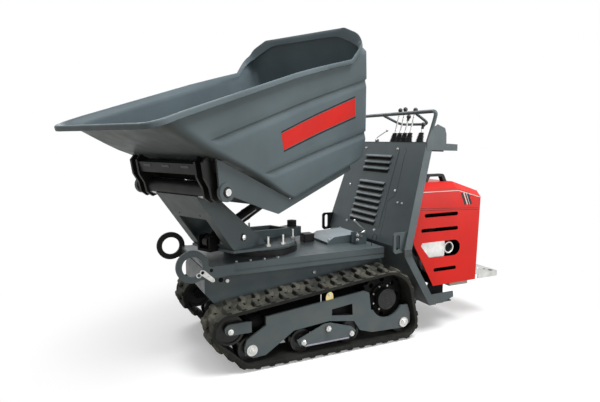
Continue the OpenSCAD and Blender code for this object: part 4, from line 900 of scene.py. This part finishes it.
def add_belts():
    """Rubber belts with lugs that slope down to the edges and turn a little at the middle, dusty on top."""
    route = belt_route()
    total = sum(length for length, _ in route)
    stations = []
    start = 0
    for k, (length, _) in enumerate(route):
        steps = 12 if k % 2 == 0 else max(8, int(length / 14))
        stations += [start + length * i / steps for i in range(steps)]
        start += length
    edge = BELT_W / 2
    half = [(edge - 2, -BELT_T), (edge, -BELT_T + 2), (edge, BELT_BEAD - 4), (edge - 4, BELT_BEAD),
            (edge - 14, BELT_BEAD), (edge - 26, 0)]
    section = half + [(-across, out) for across, out in reversed(half)]
    for name, sign in (("left", 1), ("right", -1)):
        middle = sign * (BELT_OUT - edge)

        def at(distance, across, out, shift=0.0):
            spot, outward = along_belt(route, distance)
            along = Vector((-outward.y, outward.x))
            place = spot + outward * out + along * shift
            return Vector((place.x, middle + across, place.y)) * MM

        bm = bmesh.new()
        rows = [[bm.verts.new(at(s, across, out)) for across, out in section] for s in stations]
        join_rows(bm, rows + rows[:1])
        for i in range(2 * LUG_COUNT):
            side = 1 if (i % 2 == 0) == (sign > 0) else -1
            rings = []
            for reach, tall, wide, skew in LUG_ROWS:
                foot, tip, top = LUG_FOOT / 2 * wide, LUG_TIP / 2 * wide, LUG_H * tall
                flank = [(foot, LUG_SUNK), (foot, 1), (mix(foot, tip, 0.85), top * LUG_SHOULDER),
                         (tip * LUG_CREST, top)]
                profile = [(-shift, out) for shift, out in flank] + flank[::-1]
                rings.append([at(i * total / (2 * LUG_COUNT), side * (edge - reach), out, shift + skew * side)
                              for shift, out in profile])
            lofted(bm, rings)
        belt = add_piece("belt_" + name, bm, "chassis", "belt_rubber", smooth=28)
        belt.data.materials.append(dusty_rubber)
        for polygon in belt.data.polygons:
            spot, normal = polygon.center / MM, polygon.normal
            outer = spot.z > 250 and normal.z > 0.25 or spot.x > 560 and normal.x > 0.3
            polygon.material_index = 1 if outer and spot.z > 120 else 0
        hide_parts("track_belt_" + name)


# Tracks
BOGIE_ARM, BOGIE_ROLLER_Z, BOGIE_PIVOT_Z = 172, 115.3, 178
DRIVE_BOLT_R, DRIVE_CAP_Y = 83.5, 465
DRIVE_CAP = ((0, 0), (71, 0), (71, 2), (69.5, 3.2), (66, 3.2), (64.5, 1.8), (59, 1.8), (57.5, 3), (30, 3.6),
             (29, 2.6), (14, 2.6), (13, 3.6), (0, 4))
BRACKET_Y, BRACKET_T = 466, 8
BRACKET = ((-46, 352), (8, 347), (8, 384), (-6, 406), (-32, 408), (-46, 388))


def add_track_details():
    """Nuts on the axles and pivots, drive covers and their bolts, grease brackets and grease points."""
    for side, sign in (("left", 1), ("right", -1)):
        out = (0, sign, 0)

        def nuts(name, body, places, across, height):
            bm = bmesh.new()
            for x, y, z in places:
                bolt(bm, (x, sign * y, z), out, across, height)
            add_piece(f"{name}_{side}", bm, body, "plated_steel")

        nuts("axle_nuts", "chassis", [(x, 477, ROLLER_Z) for x in (FRONT_ROLLER_X, REAR_ROLLER_X)], 35, 9)
        nuts("pivot_nut", "chassis", [(0, 489, BOGIE_PIVOT_Z)], 33, 10)
        nuts("bogie_nuts", "bogie_" + side, [(s * BOGIE_ARM, 485, BOGIE_ROLLER_Z) for s in (1, -1)], 31, 12)
        nuts("fork_nut", "idler_fork_" + side, [(IDLER_X, 477, IDLER_Z)], 31, 9)
        ring = circle(DRIVE_BOLT_R, 8, math.radians(22.5))
        places = [(SPROCKET_X + x, 415, SPROCKET_Z + z) for x, z in ring]
        nuts("drive_bolts", "sprocket_" + side, places, 13, 7)

        bm = bmesh.new()
        turned(bm, DRIVE_CAP, looking((SPROCKET_X, sign * DRIVE_CAP_Y, SPROCKET_Z), out), 64)
        add_piece("drive_cap_" + side, bm, "sprocket_" + side, "black_paint", gloss_black)

        bm = bmesh.new()
        left_face = BRACKET_Y if sign > 0 else BRACKET_T - BRACKET_Y
        plate(bm, rounded(BRACKET, 12), side_face(left_face), BRACKET_T, 1)
        add_piece("grease_bracket_" + side, bm, "chassis", "plated_steel", yellow_zinc)
        bm = bmesh.new()
        bolt(bm, (-19, sign * BRACKET_Y, 388), out, 15, 5, 11)
        tube(bm, [(41, sign * 460, 346), (41, sign * 460, 396), (41, sign * 460, 398)], 4)
        add_piece("grease_point_" + side, bm, "chassis", "plated_steel")


# Deck, turntable and post
LATCH_Y, LATCH_T = 338.5, 6
LATCH_HEAD, LATCH_TAIL = Vector((757, 590)), Vector((693, 534))
# Half of the latch's outline: way along from its head, and half width
LATCH_SHAPE, LATCH_TAIL_R = ((-17, 8), (0, 18), (34, 15)), 13
RING_X, RING_Z, RING_R = 779, 575, 13
# Black discs as painted shade in holes: centre (mm) and radius
DARK_HOLES = (((757, 338.3, 590), 10), ((703, 332.8, 597), 11), ((626, 259.8, 511), 15))
COVER_H, COVER_FALL, COVER_EDGE_FALL = 62, 10, 34
DECK_BLOCK = rectangle(-172, -92, -138, -52)
CLIP_WIRE = ((-470, 250, 620), (-468, 250, 650), (-476, 250, 690), (-492, 252, 706), (-507, 256, 696),
             (-505, 258, 672), (-494, 258, 655), (-500, 260, 640), (-518, 262, 633), (-530, 264, 626),
             (-534, 266, 620))


def add_deck_details():
    """Latch on the frame, black discs as painted shade in holes, bolts of the deck, a block behind the
    turntable, and a spring clip.
    """
    bm = bmesh.new()
    along = (LATCH_TAIL - LATCH_HEAD).normalized()
    across = Vector((-along.y, along.x))
    half = [(LATCH_HEAD + along * reach, across * wide) for reach, wide in LATCH_SHAPE]
    half.append((LATCH_TAIL, across * LATCH_TAIL_R))
    tip = LATCH_TAIL + along * LATCH_TAIL_R
    outline = [spot + wide for spot, wide in half] + [tip] + [spot - wide for spot, wide in reversed(half)]
    plate(bm, rounded(outline, 9), side_face(LATCH_Y), LATCH_T, 1.2)
    for spot, reach in ((LATCH_TAIL, 8), (LATCH_HEAD + along * 45, 6)):
        bolt(bm, (spot.x, LATCH_Y - 0.5, spot.y), TO_LEFT, reach * 1.6, 4, reach)
    ring = circle(RING_R, 20)
    tube(bm, [(RING_X + x, LATCH_Y - 1.5, RING_Z + z) for x, z in ring + ring[:1]], 3)
    add_piece("latch", bm, "chassis", "plated_steel")

    bm = bmesh.new()
    for spot, radius in DARK_HOLES:
        dot(bm, spot, TO_LEFT, radius, 0.9)
    add_piece("dark_holes", bm, "chassis", "black_paint", deep_black)

    bm = bmesh.new()
    for z in (689, 655):
        bolt(bm, (-400, 174, z), TO_LEFT, 17, 8, 13)
    for x in (-455, -225):
        for y in (-170, 70):
            cover = COVER_H - COVER_FALL * ramp(x, -470, -260) - COVER_EDGE_FALL * ramp(x, -260, -200)
            bolt(bm, (x, y, DECK_Z + cover), UPWARDS, 13, 6, 11)
    add_piece("deck_bolts", bm, "chassis", "plated_steel")

    bm = bmesh.new()
    deck_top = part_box("deck_plate")[1].z / MM
    plate(bm, rounded(DECK_BLOCK, 6), Matrix.Translation((0, 0, (deck_top - 0.5) * MM)), 60, 2.5)
    add_piece("deck_block", bm, "chassis", "black_paint")

    bm = bmesh.new()
    tube(bm, CLIP_WIRE, 2.2)
    add_piece("spring_clip", bm, "chassis", "black_paint", gloss_black)


POST_PIVOT_X, POST_PIVOT_Z, POST_WASHER_Y, POST_WASHER_T, POST_WASHER_HALF = 340, 775, 188, 3, 21
POST_WASHER_TURN = math.radians(20)
POST_RUN, POST_RISE = 248, 319


def add_turntable_details():
    """Square washers and nuts on the tip post's sides, and black discs in its front as painted shade of small
    holes.
    """
    bm = bmesh.new()
    square = rectangle(-POST_WASHER_HALF, POST_WASHER_HALF, -POST_WASHER_HALF, POST_WASHER_HALF)
    for left_face in (POST_WASHER_Y, POST_WASHER_T - POST_WASHER_Y):
        place = swivel_frame @ axes((POST_PIVOT_X, left_face, POST_PIVOT_Z), FORWARDS, UPWARDS, TO_RIGHT)
        plate(bm, rounded(square, 3), place @ Matrix.Rotation(POST_WASHER_TURN, 4, "Z"), POST_WASHER_T, 0.6)
    add_piece("post_washers", bm, "turntable", "black_paint")

    bm = bmesh.new()
    for sign in (1, -1):
        spot = moved(swivel_frame, (POST_PIVOT_X, sign * POST_WASHER_Y, POST_PIVOT_Z))
        bolt(bm, spot, swivel_frame.to_3x3() @ Vector((0, sign, 0)), 33, 8)
    add_piece("post_nuts", bm, "turntable", "plated_steel")

    # Black discs: painted shade of two small holes.
    bm = bmesh.new()
    slope = Vector((POST_RUN, 0, POST_RISE)).normalized()
    face = Vector((POST_RISE, 0, -POST_RUN)).normalized()
    for y in (-95, 95):
        spot = Vector((446, y, 735)) + slope * 245
        turned(bm, [(0, 0), (5, 0), (5, 0.5), (0, 0.6)], swivel_frame @ looking(spot, face), 18)
    add_piece("post_holes", bm, "turntable", "black_paint", deep_black)


# Matte black plate between the knuckles, which is painted shade of the recess, and the beam's pads: place,
# half width, foot and head of each
SHADE_PLATE_X, SHADE_PLATE_HALF, SHADE_PLATE_LOW, SHADE_PLATE_HIGH = -66, 254, 30, 140
PAD_X, PAD_HALF, PAD_LOW, PAD_HIGH = 61.5, 34, 147, 162


def add_hinge_details():
    """A matte black plate between the knuckles as painted shade of the recess, and small pads on the beam."""
    def upright(bm, x, middle, half, low, high, thick, edge):
        outline = rounded(rectangle(middle - half, middle + half, low, high), 4)
        plate(bm, outline, skip_frame @ axes((x, 0, 0), TO_LEFT, UPWARDS, FORWARDS), thick, edge)

    bm = bmesh.new()
    upright(bm, SHADE_PLATE_X, 0, SHADE_PLATE_HALF, SHADE_PLATE_LOW, SHADE_PLATE_HIGH, 8, 1)
    add_piece("hinge_shade_plate", bm, "tipping_skip", "black_paint", deep_black)
    bm = bmesh.new()
    for y in (-170, 0, 170):
        upright(bm, PAD_X, y, PAD_HALF, PAD_LOW, PAD_HIGH, 2.5, 0.6)
    add_piece("beam_pads", bm, "tipping_skip", "satin_paint")


# Ram, at rest, in the turntable's frame: where its foot is and which way it points
RAM_FOOT = (460, 0, 745)
RAM_ALONG = (-0.927525, 0, 0.373764)
RAM_LINE_FLANK, RAM_LINE_R, RAM_LINE_OUT, RAM_LINE_DIP = math.radians(100), 5, 45, 6
# Way along the barrel and way in towards it, for each point of the line
RAM_LINE = ((78, RAM_LINE_DIP), (84, 0), (92, 0), (396, 0), (404, 0), (410, RAM_LINE_DIP))
BAND_IN, BAND_OUT, BAND_W = 37, 40, 14


def add_ram_details():
    """A hard line along the barrel's near flank, and two bands round the barrel."""
    foot = moved(swivel_frame, RAM_FOOT)
    along = (swivel_frame.to_3x3() @ Vector(RAM_ALONG)).normalized()
    across = swivel_frame.to_3x3() @ Vector(TO_LEFT)
    below = along.cross(across).normalized()
    out = (below * math.cos(RAM_LINE_FLANK) + across * math.sin(RAM_LINE_FLANK)).normalized()
    bm = bmesh.new()
    tube(bm, [foot + along * reach + out * (RAM_LINE_OUT - dip) for reach, dip in RAM_LINE], RAM_LINE_R)
    add_piece("ram_line", bm, "ram_barrel", "plated_steel")
    bm = bmesh.new()
    section = [(BAND_IN, 0), (BAND_OUT, 0), (BAND_OUT, BAND_W), (BAND_IN, BAND_W), (BAND_IN, 0)]
    for reach in (130, 340):
        turned(bm, section, looking(foot + along * reach, along), 40)
    add_piece("ram_bands", bm, "ram_barrel", "black_paint", gloss_black)


# Engine bay
COWL_SIDE_Y, LINE_SUNK = 440, 0.2
COWL_MARK = ((-1100, 985), (-1139, 899))
HEAT_SHIELD = ((-738, 664), (-966, 664), (-974, 600), (-966, 526), (-820, 526), (-738, 620))
OUTLET_R, BORE_R, BORE_FLOOR = 43, 33, 12


def add_cowl_details():
    """Plain lines on the cowl's sides, one of them a pale line along the top crease that is a painted
    highlight, and the heat shield and muffler outlet behind its window, with a black disc in the bore as
    painted shade.
    """
    for sign, name in ((1, "left"), (-1, "right")):
        def line(points, width, lift=0.5):
            face = [(x, sign * (COWL_SIDE_Y - LINE_SUNK), z) for x, z in points]
            ribbon(bm, face, (0, sign, 0), width, lift)

        def mark(start, width):
            line([(x - start, z) for x, z in COWL_MARK], width)

        bm = bmesh.new()
        line([(-722, 893), (-1262, 869)], 3)
        line([(-724, 880), (-1262, 857)], 3)
        for start, width in ((0, 19), (31, 10), (53, 19)):
            mark(start, width)
        add_piece("cowl_dark_lines_" + name, bm, "chassis", "red_paint", dark_line)
        bm = bmesh.new()
        # A pale line along the cowl's top crease: a painted highlight.
        line([(-732, 1004), (-1068, 1004), (-1274, 948)], 5, 0.7)
        for start in (18, 42):
            mark(start, 8)
        add_piece("cowl_pale_lines_" + name, bm, "chassis", "red_paint", pale_line)

    bm = bmesh.new()
    plate(bm, rounded(HEAT_SHIELD, 14, 6), side_face(431), 46, 3)
    add_piece("heat_shield", bm, "chassis", "heat_steel", pale_steel)
    bm = bmesh.new()
    outlet = looking((-1006, 386, 596), TO_LEFT)
    turned(bm, [(0, 0), (OUTLET_R, 0), (OUTLET_R, 44), (41, 47), (35, 47), (BORE_R, 45), (BORE_R, BORE_FLOOR),
                (0, BORE_FLOOR)], outlet, 40)
    add_piece("muffler_outlet", bm, "chassis", "heat_steel", pale_steel)
    # A black disc deep in the bore: painted shade of the outlet's depth.
    bm = bmesh.new()
    turned(bm, [(0, BORE_FLOOR), (BORE_R, BORE_FLOOR), (BORE_R, 32), (0, 34)], outlet, 32)
    add_piece("muffler_bore_shade", bm, "chassis", "black_paint", deep_black)


STEP_TOP, GRIP_FRONT_X, GRIP_PITCH_X, GRIP_SIDE_Y, GRIP_PITCH_Y = 353.9, -1380, 42, -258, 86


def add_step_details():
    """Black discs as painted shade of holes, and rows of raised grips on the step."""
    # Black discs: painted shade of the step's holes.
    bm = bmesh.new()
    for sign in (1, -1):
        for x, y, radius in ((-1503, 352, 17), (-1488, 304, 9)):
            dot(bm, (x, sign * y, STEP_TOP - 0.1), UPWARDS, radius, 0.8, 0.3)
    add_piece("step_holes", bm, "step_plate", "black_paint", deep_black)
    bm = bmesh.new()
    for k in range(7):
        for row in range(3):
            spot = (GRIP_FRONT_X - row * GRIP_PITCH_X, GRIP_SIDE_Y + k * GRIP_PITCH_Y, STEP_TOP)
            grip = [(0, 0), (11, 0), (9.5, 1.6), (7, 2), (6, 1.2), (0, 1.2)]
            turned(bm, grip, looking(spot, UPWARDS), 20)
    add_piece("step_grip", bm, "step_plate", "plated_steel")


# Studio
DULL_SKY = 0.25
# Each lamp: name, place, what it points at, size in metres, power in watts
LAMPS = (("key", (-0.9, 2.6, 6.6), (0, 0, 0.9), 3.4, 400),
         ("fill", (-3.8, 4.8, 1.9), (-0.2, 0, 0.7), 3.0, 135),
         ("front", (3.6, 4.4, 1.2), (0, 0, 0.4), 2.4, 26),
         ("back", (0.5, -4.6, 5.2), (0, 0, 1.0), 3.0, 150))
WHITE, GROUND_WHITE = (1, 1, 1), (0.9, 0.9, 0.9)
# Colours that the ground lends to the light it throws up, near the machine and farther off
GROUND_BROWN, FAR_BROWN = (0.24, 0.2, 0.15), (0.9, 0.66, 0.38)
GROUND_HALF, GROUND_Z, SHADOW_LIFT = 40, -0.0005, 0.24
FADE_MIDDLE, FADE_FROM, FADE_TO = (-0.35, 0, 0), 0.9, 2.1


def plainly_seen(tree):
    """One for rays from the camera or off metal and glass, nought for the light that falls on the object."""
    path = tree.nodes.new("ShaderNodeLightPath")
    seen = path.outputs["Is Camera Ray"]
    for ray in ("Is Glossy Ray", "Is Transmission Ray"):
        either = tree.nodes.new("ShaderNodeMath")
        either.operation = "MAXIMUM"
        tree.links.new(seen, either.inputs[0])
        tree.links.new(path.outputs[ray], either.inputs[1])
        seen = either.outputs["Value"]
    return seen


def add_sky():
    """A white sky that is duller as a light than it looks."""
    scene = bpy.context.scene
    scene.view_settings.view_transform = "Standard"
    world = bpy.data.worlds.new("studio")
    scene.world = world
    world.use_nodes = True
    tree = world.node_tree
    background = tree.nodes["Background"]
    set_inputs(background, {"Color": (*WHITE, 1)})
    strength = tree.nodes.new("ShaderNodeMapRange")
    set_inputs(strength, {"To Min": DULL_SKY, "To Max": 1.0})
    tree.links.new(plainly_seen(tree), strength.inputs["Value"])
    tree.links.new(strength.outputs["Result"], background.inputs["Strength"])


def add_lamps():
    """Wide lamps round the machine, for soft shadows."""
    for name, place, target, size, power in LAMPS:
        data = bpy.data.lights.new(name, "AREA")
        data.size = size
        data.energy = power
        aim(put(name, data), place, Vector(target) - Vector(place))


def add_floor():
    """White ground that takes a shadow near the machine and fades into the sky farther off."""
    mesh = bpy.data.meshes.new("floor")
    square = rectangle(-GROUND_HALF, GROUND_HALF, -GROUND_HALF, GROUND_HALF)
    mesh.from_pydata([(x, y, 0) for x, y in square], [], [(0, 1, 2, 3)])
    floor = put("floor", mesh)
    floor.location.z = GROUND_Z
    g = Graph("floor_white", 0.9)
    seen = plainly_seen(g.tree)
    g.colour(g.mix(seen, GROUND_BROWN, GROUND_WHITE))
    g.link(g.spread(seen, 0, 1, 0.0, SHADOW_LIFT), g.shader.inputs["Emission Strength"])
    set_inputs(g.shader, {"Emission Color": (*WHITE, 1), "Specular IOR Level": 0.1})
    glow = g.add("ShaderNodeEmission")
    g.link(g.mix(seen, FAR_BROWN, WHITE), glow.inputs["Color"])
    g.link(g.spread(seen, 0, 1, DULL_SKY, 1), glow.inputs["Strength"])
    away = g.add("ShaderNodeVectorMath", operation="DISTANCE")
    away.inputs[1].default_value = FADE_MIDDLE
    g.link(g.coords, away.inputs[0])
    blend = g.add("ShaderNodeMixShader")
    g.link(g.spread(away.outputs["Value"], FADE_FROM, FADE_TO), blend.inputs["Fac"])
    g.link(g.shader.outputs["BSDF"], blend.inputs[1])
    g.link(glow.outputs["Emission"], blend.inputs[2])
    g.link(blend.outputs["Shader"], g.tree.nodes["Material Output"].inputs["Surface"])
    mesh.materials.append(g.material)


add_camera()
dress_nodes()
add_skip()
add_stripes()
paint_upper()
paint_tracks()
break_edges()
add_boots()
add_console_details()
add_rails()
add_belts()
add_track_details()
add_deck_details()
add_turntable_details()
add_hinge_details()
add_ram_details()
add_cowl_details()
add_step_details()
add_sky()
add_lamps()
add_floor()
